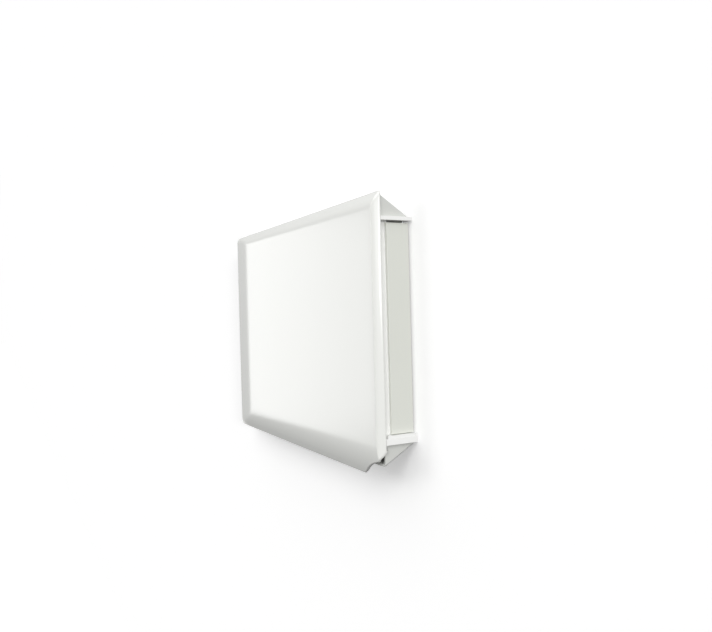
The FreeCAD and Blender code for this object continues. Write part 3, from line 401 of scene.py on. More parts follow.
def metal_group():
    """Worked metal: fine drawn lines along one direction, cloudy plating and dull smudges."""
    tree = bpy.data.node_groups.new("worked metal", "ShaderNodeTree")
    group_sockets(tree, [
        ("Colour", "NodeSocketColor", (0.7, 0.7, 0.7, 1)), ("Cloud", "NodeSocketFloat", 0.1),
        ("Gloss", "NodeSocketFloat", 0.3), ("Smudge", "NodeSocketFloat", 0.2),
        ("Lines", "NodeSocketVector", (40.0, 40.0, 2500.0)),
        ("Cloud Size", "NodeSocketFloat", 60.0)], SURFACE_OUTPUTS)
    given = wired(tree, "NodeGroupInput").outputs
    place = wired(tree, "ShaderNodeTexCoord").outputs["Object"]
    drawn = wired(tree, "ShaderNodeVectorMath", {0: place, 1: given["Lines"]}, operation="MULTIPLY")
    line = noise_node(tree, 1.0, 3.0, drawn.outputs[0])
    cloud = noise_node(tree, given["Cloud Size"], 4.0, place)
    change = math_node(tree, "ADD", about_middle(tree, cloud, given["Cloud"]),
                       about_middle(tree, line, LINE_CONTRAST))
    shade = math_node(tree, "ADD", 1.0, change)
    rough = math_node(tree, "ADD", given["Gloss"], math_node(tree, "MULTIPLY", cloud, given["Smudge"]))
    rough = math_node(tree, "ADD", rough, math_node(tree, "MULTIPLY", line, LINE_ROUGHNESS), True)
    colour = shaded(tree, given["Colour"], shade)
    wired(tree, "NodeGroupOutput", {"Colour": colour, "Roughness": rough, "Height": line})
    return tree


METAL = metal_group()


def metal(name, colour, gloss, lines=(60.0, 60.0, 2500.0), cloud=0.25, cloud_size=60.0):
    values = {"Colour": (*colour, 1), "Cloud": cloud, "Gloss": gloss, "Smudge": METAL_SMUDGE,
              "Lines": lines, "Cloud Size": cloud_size}
    material, shader = finished_material(name, METAL, values, METAL_BUMP, METAL_RELIEF)
    shader.inputs["Metallic"].default_value = 1.0
    return material


def lathe(profile, steps=24):
    """Closed round mesh along Z from points (radius, height) that start and end on the axis."""
    bm = bmesh.new()
    rings = []
    for radius, height in profile:
        if radius == 0:
            rings.append([bm.verts.new((0, 0, height))])
            continue
        turns = [2 * math.pi * k / steps for k in range(steps)]
        rings.append([bm.verts.new((radius * math.cos(a), radius * math.sin(a), height)) for a in turns])
    for low, high in zip(rings, rings[1:]):
        for k in range(steps):
            n = (k + 1) % steps
            face = [low[k % len(low)], low[n % len(low)], high[n % len(high)], high[k % len(high)]]
            bm.faces.new(list(dict.fromkeys(face)))
    bmesh.ops.recalc_face_normals(bm, faces=bm.faces)
    mesh = bpy.data.meshes.new("turned blank")
    bm.to_mesh(mesh)
    bm.free()
    return mesh


THREAD_STEP = 0.001          # height of one drawn thread turn
SCREW_SLOT = (3.0, 0.28)     # slot cutter's length and width, in head radii


def screw_blank(head_r, head_h, shank_r, length):
    """Slotted pan-head screw: seat at the origin, head up, threaded shank down."""
    profile = [(0, -length), (shank_r * 0.7, -length)]
    turns = max(int(length / THREAD_STEP), 2)
    for k in range(turns):
        z = -length + (k + 0.5) * length * 0.9 / turns
        profile += [(shank_r * 0.86, z), (shank_r, z + length * 0.45 / turns)]
    profile += [(shank_r * 0.9, -length * 0.04), (shank_r * 0.9, 0)]
    profile += [(head_r * 0.94, 0), (head_r, head_h * 0.12), (head_r, head_h * 0.5)]
    for k in range(1, 6):
        a = math.radians(90 * k / 6)
        profile.append((head_r * (0.35 + 0.65 * math.cos(a)), head_h * (0.5 + 0.5 * math.sin(a))))
    profile += [(head_r * 0.3, head_h), (0, head_h)]
    piece = bpy.data.objects.new("screw blank", lathe(profile))
    bpy.context.scene.collection.objects.link(piece)
    cutter_mesh = bpy.data.meshes.new("slot cutter")
    bm = bmesh.new()
    bmesh.ops.create_cube(bm, size=1.0)
    slot_long, slot_wide = SCREW_SLOT
    bmesh.ops.scale(bm, vec=(head_r * slot_long, head_r * slot_wide, head_h * 0.9), verts=bm.verts)
    bmesh.ops.translate(bm, vec=(0, 0, head_h * 1.05), verts=bm.verts)
    bm.to_mesh(cutter_mesh)
    bm.free()
    cutter = bpy.data.objects.new("slot cutter", cutter_mesh)
    bpy.context.scene.collection.objects.link(cutter)
    slot = piece.modifiers.new("slot", "BOOLEAN")
    slot.operation = "DIFFERENCE"
    slot.solver = "EXACT"
    slot.object = cutter
    mesh = flatten(piece)
    bpy.data.objects.remove(cutter)
    return mesh


def finish_copies(tree, copies, finish, output):
    """Ends a tree: makes its copies real, gives them their material and puts them out."""
    real = wired(tree, "GeometryNodeRealizeInstances", {"Geometry": copies.outputs["Instances"]})
    coated = wired(tree, "GeometryNodeSetMaterial", {
        "Geometry": real.outputs["Geometry"], "Material": finish})
    wired(tree, "NodeGroupOutput", {output: coated.outputs["Geometry"]})


def placing_tree():
    """Sets one copy of a piece at every point of the carrier mesh, turned the same way."""
    tree = bpy.data.node_groups.new("set copies in place", "GeometryNodeTree")
    for name, kind in (("Places", "NodeSocketGeometry"), ("Piece", "NodeSocketObject"),
                       ("Turn", "NodeSocketRotation"), ("Finish", "NodeSocketMaterial")):
        tree.interface.new_socket(name, in_out="INPUT", socket_type=kind)
    tree.interface.new_socket("Copies", in_out="OUTPUT", socket_type="NodeSocketGeometry")
    given = wired(tree, "NodeGroupInput").outputs
    info = wired(tree, "GeometryNodeObjectInfo", {"Object": given["Piece"]})
    copies = wired(tree, "GeometryNodeInstanceOnPoints", {
        "Points": given["Places"], "Instance": info.outputs["Geometry"], "Rotation": given["Turn"]})
    finish_copies(tree, copies, given["Finish"], "Copies")
    return tree


PLACING = placing_tree()
UNTURNED = (0, 0, 0)
HEAD_FRONT = (math.radians(90), 0, 0)         # a screw driven into the unit from the front
HEAD_RIGHT = (0, math.radians(90), 0)         # a screw driven in from the service bay


def run_tree(name, tree, carrier_points, **values):
    """Mesh that a Geometry Nodes tree makes from the points, with its named inputs set."""
    mesh = bpy.data.meshes.new(name)
    mesh.from_pydata(carrier_points, [], [])
    carrier = bpy.data.objects.new(name, mesh)
    bpy.context.scene.collection.objects.link(carrier)
    modifier = carrier.modifiers.new("build", "NODES")
    modifier.node_group = tree
    for socket in tree.interface.items_tree:
        if socket.in_out == "INPUT" and socket.name in values:
            modifier[socket.identifier] = values[socket.name]
    made = flatten(carrier)
    made.name = name
    return made


def copies_of(name, blank, places, turn, material):
    """One mesh with a copy of the blank at every place, all turned the same way."""
    template = bpy.data.objects.new(name + " blank", blank)
    bpy.context.scene.collection.objects.link(template)
    mesh = run_tree(name, PLACING, places, Piece=template, Turn=turn, Finish=material)
    bpy.data.objects.remove(template)
    return mesh


def joined(name, meshes):
    """One mesh from several, with their materials kept."""
    bm = bmesh.new()
    slots = []
    for mesh in meshes:
        first = len(bm.faces)
        bm.from_mesh(mesh)
        bm.faces.ensure_lookup_table()
        for face in bm.faces[first:]:
            material = mesh.materials[face.material_index] if mesh.materials else None
            if material not in slots:
                slots.append(material)
            face.material_index = slots.index(material)
    result = bpy.data.meshes.new(name)
    bm.to_mesh(result)
    bm.free()
    for material in slots:
        result.materials.append(material)
    return result


def solid_boxes(node):
    """Lowest and highest corner of each separate solid of a CAD node, lowest X and Z first."""
    bm = bmesh.new()
    bm.from_mesh(frame["nodes"][node].data)
    bmesh.ops.remove_doubles(bm, verts=bm.verts, dist=MERGE_REACH)
    left = set(bm.verts)
    boxes = []
    while left:
        found = [left.pop()]
        stack = list(found)
        while stack:
            for edge in stack.pop().link_edges:
                for vert in edge.verts:
                    if vert in left:
                        left.remove(vert)
                        found.append(vert)
                        stack.append(vert)
        low = Vector([min(v.co[i] for v in found) for i in range(3)])
        high = Vector([max(v.co[i] for v in found) for i in range(3)])
        boxes.append((low, high))
    bm.free()
    return sorted(boxes, key=lambda b: (round(b[0].x, 4), round(b[0].z, 4)))


def smooth_by_angle(mesh):
    """Shades a mesh round, and keeps its sharp edges sharp."""
    mesh.shade_smooth()
    mesh.set_sharp_from_angle(angle=SHARP_ANGLE)
    return mesh


SCREW_SHANK = 0.0015
RETAIN_SHANK = 0.002
RETAIN_HEAD = 0.0025


def set_screws(node, head_height, turn=HEAD_FRONT, shank=SCREW_SHANK):
    """Slotted screws at the places of the CAD node's plain ones, driven along +Y or -X."""
    boxes = solid_boxes(node)
    low, high = boxes[0]
    if turn == HEAD_FRONT:
        seat = low.y + head_height
        blank = screw_blank((high.x - low.x) / 2, head_height, shank, high.y - seat)
        places = [((a.x + b.x) / 2, seat, (a.z + b.z) / 2) for a, b in boxes]
    else:
        seat = high.x - head_height
        blank = screw_blank((high.z - low.z) / 2, head_height, shank, seat - low.x)
        places = [(seat, (a.y + b.y) / 2, (a.z + b.z) / 2) for a, b in boxes]
    mesh = smooth_by_angle(copies_of(node, blank, places, turn, SCREW_STEEL))
    return add_piece(node + "_part", mesh, None, BODY_OF[node], SLOT_OF[node], node)


BRACKET_ZINC = metal("bracket zinc", (0.60, 0.61, 0.62), gloss=0.34, lines=(12.0, 400.0, 900.0), cloud=0.45,
                     cloud_size=34.0)
SCREW_STEEL = metal("screw steel", (0.56, 0.565, 0.57), gloss=0.26, lines=(500.0, 500.0, 500.0),
                    cloud_size=180.0)
eased_piece("wall_bracket", 0.0004, BRACKET_ZINC)
set_screws("retaining_screws", RETAIN_HEAD, shank=RETAIN_SHANK)

# ---- Reader board -------------------------------------------------------------------------
# Green laminate with copper tracks under the solder mask, screwed to posts in the tray. A can of
# tin plate is soldered over its radio circuit.
def laminate(name, mask, track):
    """Printed board: tracks raised under a solder mask, over a faint glass weave."""
    material, tree, shader = new_material(name)
    place = wired(tree, "ShaderNodeTexCoord").outputs["Object"]
    turned = wired(tree, "ShaderNodeMapping", {"Vector": place, "Rotation": HEAD_FRONT}).outputs["Vector"]
    rows = wired(tree, "ShaderNodeTexBrick", {
        "Vector": turned, "Scale": 90.0, "Mortar Size": 0.05, "Brick Width": 1.7, "Row Height": 0.24,
        "Color1": (0, 0, 0, 1), "Color2": (0.25, 0.25, 0.25, 1), "Mortar": (1, 1, 1, 1)})
    weave = wired(tree, "ShaderNodeTexWave", {"Vector": turned, "Scale": 700.0})
    mix = wired(tree, "ShaderNodeMix", {
        "Factor": rows.outputs["Color"], "A": (*mask, 1), "B": (*track, 1)}, data_type="RGBA")
    height = wired(tree, "ShaderNodeMath", {
        0: weave.outputs["Fac"], 1: 0.15, 2: rows.outputs["Fac"]}, operation="MULTIPLY_ADD")
    bump = wired(tree, "ShaderNodeBump", {
        "Strength": 0.7, "Distance": 0.00004, "Height": height.outputs[0]})
    rough = wired(tree, "ShaderNodeMapRange", {
        "Value": weave.outputs["Fac"], "To Min": 0.24, "To Max": 0.42})
    feed(tree, shader, {"Base Color": mix.outputs["Result"], "Roughness": rough.outputs["Result"],
                        "Normal": bump.outputs["Normal"], "Coat Weight": 0.35, "Coat Roughness": 0.2})
    return material


BOARD_GREEN = laminate("board green", (0.012, 0.10, 0.045), (0.035, 0.22, 0.10))
TIN_PLATE = metal("tin plate", (0.72, 0.72, 0.71), gloss=0.2, lines=(20.0, 60.0, 900.0), cloud=0.3,
                  cloud_size=90.0)
BOARD_EDGE = 0.0001
SMALL_SCREW_HEAD = 0.002
eased_piece("reader_board", BOARD_EDGE, BOARD_GREEN)
set_screws("board_screws", SMALL_SCREW_HEAD)
eased_piece("shield_can", 0.0005, TIN_PLATE)

# ---- Chips --------------------------------------------------------------------------------
# Three black epoxy packages on the reader board, under the can. Each has a row of tinned legs on
# all four sides, soldered down to the board.
LEG_PITCH = 0.00127
LEG_WIDE = 0.0004
LEG_HIGH = 0.0014
LEG_REACH = 0.0012
LEG_BITE = 0.0001            # leg's end inside the package
LEG_DROP = 0.0007            # from the package's middle towards the board
CHIP_MARGIN = 0.002          # length of a side that has no legs
SIDEWAYS = (0, math.radians(90), 0)


def bar_mesh(size, edge=0.0001):
    """Small square bar about the origin with its edges broken."""
    bm = bmesh.new()
    bmesh.ops.create_cube(bm, size=1.0)
    bmesh.ops.scale(bm, vec=size, verts=bm.verts)
    bmesh.ops.bevel(bm, geom=bm.edges[:], offset=edge, segments=1, affect="EDGES")
    mesh = bpy.data.meshes.new("bar")
    bm.to_mesh(mesh)
    bm.free()
    return mesh


def chip_legs():
    """Legs on all four sides of each chip."""
    across, along = [], []
    for low, high in solid_boxes("reader_chips"):
        middle = (low + high) / 2
        y = middle.y + LEG_DROP
        reach = (high.x - low.x) / 2 + LEG_REACH / 2 - LEG_BITE
        count = int((high.z - low.z - CHIP_MARGIN) / LEG_PITCH)
        for k in range(count):
            shift = (k - (count - 1) / 2) * LEG_PITCH
            for side in (-1, 1):
                across.append((middle.x + side * reach, y, middle.z + shift))
                along.append((middle.x + shift, y, middle.z + side * reach))
    leg = bar_mesh((LEG_REACH, LEG_HIGH, LEG_WIDE))
    return joined("chip legs", [copies_of("legs across", leg, across, UNTURNED, TIN_PLATE),
                                copies_of("legs along", leg.copy(), along, SIDEWAYS, TIN_PLATE)])


CHIP_BLACK = plastic("chip black", (0.018, 0.018, 0.02), gloss=0.5, grain=3000, mottle=0.1)
packages = eased_mesh("reader_chips", 0.0003)
packages.materials.clear()
packages.materials.append(CHIP_BLACK)
add_piece("reader_chips_part", joined("reader chips", [packages, chip_legs()]), None, "housing",
          "black_plastic", "reader_chips")

# ---- Capacitors ---------------------------------------------------------------------------
# Three electrolytic capacitors on the reader board: aluminium cans in a dark blue sleeve, rolled
# in near the foot, with the bare top of the can showing.
SLEEVE = plastic("capacitor sleeve", (0.02, 0.035, 0.12), gloss=0.3, grain=2600, grain_depth=0.00002,
                 mottle=0.1)
CAN_STEPS = 32


def capacitor_meshes():
    """Sleeved cans with a rolled groove near the foot and a bare top with a rim."""
    low, high = solid_boxes("capacitors")[0]
    r = (high.x - low.x) / 2
    tall = high.y - low.y
    sleeve = [(0, 0), (r * 0.96, 0), (r, tall * 0.03), (r, tall * 0.08), (r * 0.93, tall * 0.12),
              (r, tall * 0.16), (r, tall * 0.96), (r * 0.97, tall * 0.985), (r * 0.86, tall * 0.985),
              (r * 0.86, tall * 0.965), (0, tall * 0.965)]
    top = [(0, tall * 0.966), (r * 0.84, tall * 0.966), (r * 0.84, tall * 0.99), (r * 0.8, tall), (0, tall)]
    places = [((a.x + b.x) / 2, high.y, (a.z + b.z) / 2) for a, b in solid_boxes("capacitors")]
    return joined("capacitors", [
        copies_of("sleeves", lathe(sleeve, CAN_STEPS), places, HEAD_FRONT, SLEEVE),
        copies_of("tops", lathe(top, CAN_STEPS), places, HEAD_FRONT, TIN_PLATE)])


add_piece("capacitors_part", capacitor_meshes(), None, "housing", "capacitor_sleeve", "capacitors")

# ---- Choke --------------------------------------------------------------------------------
# Ferrite ring that lies on the reader board, wound with enamelled copper wire to keep noise off
# the supply.
WINDING_TURNS = 22
WIRE_R = 0.0006
WIRE_LEAN = math.radians(84)
LOOP_SIDES = 16
WIRE_SIDES = 6
CORE_HOLE_R = 0.0058
CORE_EASE = 0.0005
CORE_STEPS = 40


def winding_tree():
    """Wire loops set round a ring core: one loop per turn, all tilted a little."""
    tree = bpy.data.node_groups.new("choke winding", "GeometryNodeTree")
    for name, kind, value in (
            ("Turns", "NodeSocketInt", 20), ("Ring Radius", "NodeSocketFloat", 0.008),
            ("Loop Radius", "NodeSocketFloat", 0.004), ("Wire Radius", "NodeSocketFloat", 0.0005)):
        tree.interface.new_socket(name, in_out="INPUT", socket_type=kind).default_value = value
    tree.interface.new_socket("Finish", in_out="INPUT", socket_type="NodeSocketMaterial")
    tree.interface.new_socket("Carrier", in_out="INPUT", socket_type="NodeSocketGeometry")
    tree.interface.new_socket("Winding", in_out="OUTPUT", socket_type="NodeSocketGeometry")
    given = wired(tree, "NodeGroupInput").outputs
    ring = wired(tree, "GeometryNodeMeshCircle", {
        "Vertices": given["Turns"], "Radius": given["Ring Radius"]})
    loop = wired(tree, "GeometryNodeCurvePrimitiveCircle", {
        "Resolution": LOOP_SIDES, "Radius": given["Loop Radius"]})
    wire = wired(tree, "GeometryNodeCurvePrimitiveCircle", {
        "Resolution": WIRE_SIDES, "Radius": given["Wire Radius"]})
    tube = wired(tree, "GeometryNodeCurveToMesh", {
        "Curve": loop.outputs["Curve"], "Profile Curve": wire.outputs["Curve"]})
    place = wired(tree, "GeometryNodeInputPosition")
    align = wired(tree, "FunctionNodeAlignRotationToVector", {
        "Vector": place.outputs["Position"]}, axis="X")
    upright = wired(tree, "FunctionNodeRotateRotation", {
        "Rotation": align.outputs["Rotation"], "Rotate By": (WIRE_LEAN, 0, 0)}, rotation_space="LOCAL")
    copies = wired(tree, "GeometryNodeInstanceOnPoints", {
        "Points": ring.outputs["Mesh"], "Instance": tube.outputs["Mesh"],
        "Rotation": upright.outputs["Rotation"]})
    finish_copies(tree, copies, given["Finish"], "Winding")
    return tree


FERRITE = plastic("ferrite", (0.07, 0.07, 0.072), gloss=0.6, grain=1500, grain_depth=0.0001, mottle=0.3)
COPPER = metal("enamelled copper", (0.72, 0.28, 0.10), gloss=0.22, lines=(300.0, 300.0, 300.0),
               cloud_size=200.0)
CHOKE_LOW, CHOKE_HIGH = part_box("choke")


def choke_mesh():
    """Ferrite ring lying on the board, inside its winding."""
    outer = (CHOKE_HIGH[0] - CHOKE_LOW[0]) / 2
    high = CHOKE_HIGH[1] - CHOKE_LOW[1]
    core_r, hole_r = outer - 2 * WIRE_R, CORE_HOLE_R
    middle = (core_r + hole_r) / 2
    loop_r = (core_r - hole_r) / 2 + WIRE_R
    half = high / 2 - 2.2 * WIRE_R
    side = half * 0.8
    section = [(hole_r, -side), (hole_r + CORE_EASE, -half), (core_r - CORE_EASE, -half), (core_r, -side),
               (core_r, side), (core_r - CORE_EASE, half), (hole_r + CORE_EASE, half), (hole_r, side)]
    core = lathe(section + section[:1], CORE_STEPS)
    core.materials.append(FERRITE)
    winding = run_tree("winding", winding_tree(), [(0, 0, 0)], **{
        "Turns": WINDING_TURNS, "Ring Radius": middle, "Loop Radius": loop_r, "Wire Radius": WIRE_R,
        "Finish": COPPER})
    mesh = joined("choke", [core, winding])
    centre = (Vector(CHOKE_LOW) + Vector(CHOKE_HIGH)) / 2
    mesh.transform(Matrix.Translation(centre) @ Matrix.Rotation(math.radians(90), 4, "X"))
    return smooth_by_angle(mesh)


add_piece("choke_part", choke_mesh(), None, "housing", "choke_ferrite", "choke")

# ---- Headers, coax plug and leads ---------------------------------------------------------
# Two black headers and a gold plated coaxial plug take the leads at the reader board. The leads
# have black soft jackets and are held at both ends.
HEADER_BLACK = plastic("header black", (0.03, 0.03, 0.032), gloss=0.4, grain=2200)
GOLD = metal("gold plating", (0.85, 0.62, 0.27), gloss=0.2, lines=(200.0, 200.0, 200.0), cloud=0.15,
             cloud_size=200.0)
LEAD_BLACK = plastic("lead jacket", (0.035, 0.035, 0.036), gloss=0.46, grain=1200, grain_depth=0.00004,
                     mottle=0.12)
LEAD_SHARP = math.radians(50)
eased_piece("board_headers", 0.0005, HEADER_BLACK)
eased_piece("coax_plug", 0.0004, GOLD)
for node in ("antenna_coax", "ethernet_lead", "power_lead", "sounder_lead"):
    jacket = merged_mesh(node)
    jacket.set_sharp_from_angle(angle=LEAD_SHARP)
    add_piece(node + "_part", jacket, LEAD_BLACK, BODY_OF[node], SLOT_OF[node], node)

# ---- Antenna ------------------------------------------------------------------------------
# Two aluminium patches stand on nylon spacers over a larger reflector plate. Gold plated tongues
# bring the signal to them from a small feed board in the middle of the plate.
PLATE_ALUMINIUM = metal("rolled aluminium", (0.80, 0.805, 0.81), gloss=0.30, lines=(5.0, 300.0, 1500.0),
                        cloud=0.12, cloud_size=18.0)
NYLON = plastic("nylon", (0.74, 0.73, 0.68), gloss=0.4, grain=1500)
SHEET_EDGE = 0.0002
for node in ("ground_plate", "patch_left", "patch_right"):
    eased_piece(node, SHEET_EDGE, PLATE_ALUMINIUM)
for node in ("plate_screws", "patch_screws"):
    set_screws(node, SMALL_SCREW_HEAD)
eased_piece("patch_spacers", 0.0004, NYLON)
eased_piece("feed_board", BOARD_EDGE, BOARD_GREEN)
eased_piece("feed_tongues", 0.00015, GOLD)

# ---- End frame, door sill and cable entry -------------------------------------------------
# Glossy white moulding that closes the right end: an upper and a lower rail, the finger groove and
# the walls of the service bay. Three screws hold it to the tray. The sill strip clips on the lower
# rail, and a rubber grommet lines the cable entry in the bay's back wall.
FRAME_EDGE = 0.0006
WHITE_GLOSS = plastic("white gloss", (0.95, 0.953, 0.935), gloss=0.26, grain=900, grain_depth=0.00001,
                      mottle=0.015, dust=0.12, scuff=0.04)
RUBBER = plastic("rubber", (0.03, 0.03, 0.031), gloss=0.66, grain=1100, grain_depth=0.00008, mottle=0.1,
                 dust=0.4)
eased_piece("end_frame", FRAME_EDGE, WHITE_GLOSS)
eased_piece("door_sill", FRAME_EDGE, WHITE_GLOSS)
set_screws("frame_screws", SMALL_SCREW_HEAD)
eased_piece("entry_grommet", 0.0004, RUBBER)

# ---- Port plate, sockets and switches -----------------------------------------------------
# Brushed aluminium plate between the bay and the electronics, held by two screws. The network and
# supply sockets, the power switch and the sunk reset button sit in it.
PORT_ALUMINIUM = metal("brushed port plate", (0.74, 0.745, 0.75), gloss=0.32, lines=(300.0, 2600.0, 14.0),
                       cloud=0.1)
PORT_BLACK = plastic("port black", (0.022, 0.022, 0.024), gloss=0.34, grain=2000)
SOCKET_STEEL = metal("socket shell", (0.70, 0.70, 0.69), gloss=0.24, lines=(60.0, 60.0, 900.0))
RESET_GREY = plastic("reset button", (0.10, 0.10, 0.105), gloss=0.42, grain=2400)
for node, edge, finish in (
        ("port_plate", 0.0003, PORT_ALUMINIUM), ("ethernet_socket", 0.0003, SOCKET_STEEL),
        ("dc_socket", 0.0005, PORT_BLACK), ("rocker_housing", 0.0005, PORT_BLACK),
        ("power_rocker", 0.0006, PORT_BLACK), ("reset_switch", 0.0003, PORT_BLACK),
        ("reset_button", 0.0003, RESET_GREY)):
    eased_piece(node, edge, finish)
set_screws("port_screws", SMALL_SCREW_HEAD, turn=HEAD_RIGHT)

# ---- Antenna ports ------------------------------------------------------------------------
# Two gold plated coaxial sockets for further antennas, each fixed by a hexagon nut against the
# port plate. A white insulator holds the centre contact.
THREAD_R = 0.0031
THREAD_PITCH = 0.0007
THREAD_ROOT = 0.9
NUT_SHARE = 0.3
BORE_R = 0.0022
CONTACT_R = 0.00045


def antenna_port_mesh():
    """Threaded coaxial sockets: hexagon nut, threaded barrel, white insulator and centre contact."""
    boxes = solid_boxes("antenna_ports")
    low, high = boxes[0]
    back, face, front = low.x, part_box("port_plate")[1][0], high.x
    across = (high.z - low.z) / 2
    length = front - face
    nut_high = length * NUT_SHARE
    nut = [(0, 0.00005), (across * 0.96, 0.00005), (across, nut_high * 0.2), (across, nut_high * 0.8),
           (across * 0.9, nut_high), (0, nut_high)]
    root_r = THREAD_R * THREAD_ROOT
    barrel = [(0, back - face), (THREAD_R, back - face), (THREAD_R, nut_high)]
    ridges = int((length - nut_high) / THREAD_PITCH)
    for k in range(ridges):
        z = nut_high + k * THREAD_PITCH
        barrel += [(root_r, z + THREAD_PITCH * 0.5), (THREAD_R, z + THREAD_PITCH)]
    barrel += [(root_r, length), (BORE_R, length), (BORE_R, length * 0.45), (0, length * 0.45)]
    insulator = [(0, length * 0.46), (BORE_R * 0.97, length * 0.46), (BORE_R * 0.97, length * 0.86),
                 (CONTACT_R * 1.6, length * 0.86), (CONTACT_R * 1.6, length * 0.7), (0, length * 0.7)]
    contact = [(0, length * 0.71), (CONTACT_R, length * 0.71), (CONTACT_R, length * 0.88),
               (0, length * 0.92)]
    places = [(face, (a.y + b.y) / 2, (a.z + b.z) / 2) for a, b in boxes]
    parts = [copies_of("nuts", lathe(nut, 6), places, HEAD_RIGHT, GOLD),
             copies_of("barrels", lathe(barrel), places, HEAD_RIGHT, GOLD),
             copies_of("insulators", lathe(insulator), places, HEAD_RIGHT, NYLON),
             copies_of("contacts", lathe(contact, 12), places, HEAD_RIGHT, GOLD)]
    return smooth_by_angle(joined("antenna ports", parts))


add_piece("antenna_ports_part", antenna_port_mesh(), None, "housing", "gold_brass", "antenna_ports")

# ---- Ethernet contacts --------------------------------------------------------------------
# Eight gold plated spring contacts side by side on one wall of the network socket's mouth. They
# meet the plug's own contacts.
CONTACTS = 8
CONTACT_PITCH = 0.00102
CONTACT_SIZE = (0.007, 0.0004, 0.0005)
CONTACT_RECESS = 0.002       # from the socket's face
MOUTH_DEPTH = 0.005          # contact wall from the socket's middle
SOCKET_LOW, SOCKET_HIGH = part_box("ethernet_socket")
SOCKET_MIDDLE = (Vector(SOCKET_LOW) + Vector(SOCKET_HIGH)) / 2
CONTACT_X = SOCKET_HIGH[0] - CONTACT_RECESS - CONTACT_SIZE[0] / 2
CONTACT_Y = SOCKET_MIDDLE.y - MOUTH_DEPTH + CONTACT_SIZE[1] / 2
FIRST_Z = SOCKET_MIDDLE.z - (CONTACTS - 1) / 2 * CONTACT_PITCH
row = [(CONTACT_X, CONTACT_Y, FIRST_Z + k * CONTACT_PITCH) for k in range(CONTACTS)]
add_piece("ethernet_contacts", copies_of("contacts", bar_mesh(CONTACT_SIZE), row, UNTURNED, GOLD), None,
          "housing", "gold_brass")

# ---- Status lenses ------------------------------------------------------------------------
# Three small lenses in the port plate, clear green plastic, that carry the light of status lamps
# behind it to its face.
def lens_plastic():
    """Clear green-tinted lens with the light guide's fine flutes inside."""
    material, tree, shader = new_material("status lens")
    place = wired(tree, "ShaderNodeTexCoord").outputs["Object"]
    grain = wired(tree, "ShaderNodeTexNoise", {"Vector": place, "Scale": 900.0}).outputs["Fac"]
    rough = wired(tree, "ShaderNodeMapRange", {"Value": grain, "To Min": 0.12, "To Max": 0.26})
    tint = wired(tree, "ShaderNodeMix", {
        "Factor": grain, "A": (0.30, 0.62, 0.34, 1), "B": (0.42, 0.74, 0.46, 1)}, data_type="RGBA")
    bump = wired(tree, "ShaderNodeBump", {"Strength": 0.4, "Distance": 0.00003, "Height": grain})
    feed(tree, shader, {"Base Color": tint.outputs["Result"], "Roughness": rough.outputs["Result"],
                        "Normal": bump.outputs["Normal"], "Coat Weight": 0.6})
    return material


eased_piece("status_lenses", 0.0004, lens_plastic())

# ---- Side door ----------------------------------------------------------------------------
# Light grey service door, moulded in one piece with its two hinge knuckles. It swings on two
# steel pins near the wall, and two magnets in the frame hold its two glued steel strikes.
DOOR_EDGE = 0.0005
DOOR_PLASTIC = plastic("door plastic", (0.755, 0.77, 0.71), gloss=0.42, grain=1700, grain_depth=0.00004)
NICKEL = metal("magnet nickel", (0.66, 0.64, 0.60), gloss=0.18, lines=(200.0, 200.0, 200.0), cloud=0.12)
eased_piece("side_door", DOOR_EDGE, DOOR_PLASTIC)
eased_piece("hinge_pins", 0.0003, SCREW_STEEL)
eased_piece("door_strikes", 0.0002, SCREW_STEEL)
eased_piece("door_magnets", 0.0004, NICKEL)

# ---- Seal and stud grips ------------------------------------------------------------------
# Foam rubber ring that the cover presses on the tray's front edge, and four rubber sleeves in the
# tray's posts that grip the cover's studs.
eased_piece("cover_seal", 0.0004, RUBBER)
eased_piece("stud_grips", 0.0003, RUBBER)

# ---- Front cover --------------------------------------------------------------------------
# Large shallow cover, injection moulded in glossy white plastic that radio waves pass through. A
# nearly flat front falls away to a short skirt in four soft slopes, wide on the left and narrow on
# the right. A finger scoop is taken out of the lower right corner.
LOW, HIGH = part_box("front_cover")
SLOPE_LEFT = 0.058
SLOPE_RIGHT = 0.0045
SLOPE_TOP = 0.017
SLOPE_BOTTOM = 0.030
CROWN = 0.008
COVER_WALL = 0.003
COVER_EDGE_R = 0.0011
CORNER_LEFT = 0.008
CORNER_RIGHT = 0.003
# Share of each slope that is straight before it rounds over, and where the rounding meets the
# front, in slope widths.
ROUNDING = {"left": (0.95, 1.35), "bottom": (0.1, 1.2), "top": (0.3, 1.1), "right": (0.5, 1.3)}
MITRE = 4                    # higher makes the lines between the slopes crisper
FRONT_DOME = 0.0007
SCOOP_RUN = 0.045
SCOOP_RISE = 0.019
SCOOP_BOW = 0.0025
SCOOP_SIDE = 0.019
SCOOP_INSET = 0.006
CROWN_Y = LOW[1] + CROWN
INNER_CORNER_LEFT = 0.006
INNER_CORNER_RIGHT = 0.002
SKIRT_TURN = 0.0004          # small radius along the skirt's back edge
WALL_FILLET = 0.0006         # where the inside of the skirt meets the hollow back
SCOOP_STEP = 0.004           # step of the search for the scoop's edge, as a share of the slope
LONG_STEPS = 84
SHORT_STEPS = 56
CORNER_STEPS = 8
SLOPE_RINGS = 14
# How far each ring stands on the way inwards: in the hollow back, behind the slopes, over the
# rounded edge in edge radii, and on the front.
HOLLOW_RINGS = (0.97, 0.7, 0.35, 0.0)
BEHIND_SLOPE_RINGS = (0.75, 0.5, 0.25)
EDGE_RINGS = (0, 0.12, 0.3, 0.55, 0.8, 1.0, 1.5)
FRONT_RINGS = (0.06, 0.16, 0.3, 0.45, 0.6, 0.75, 0.88, 0.97)


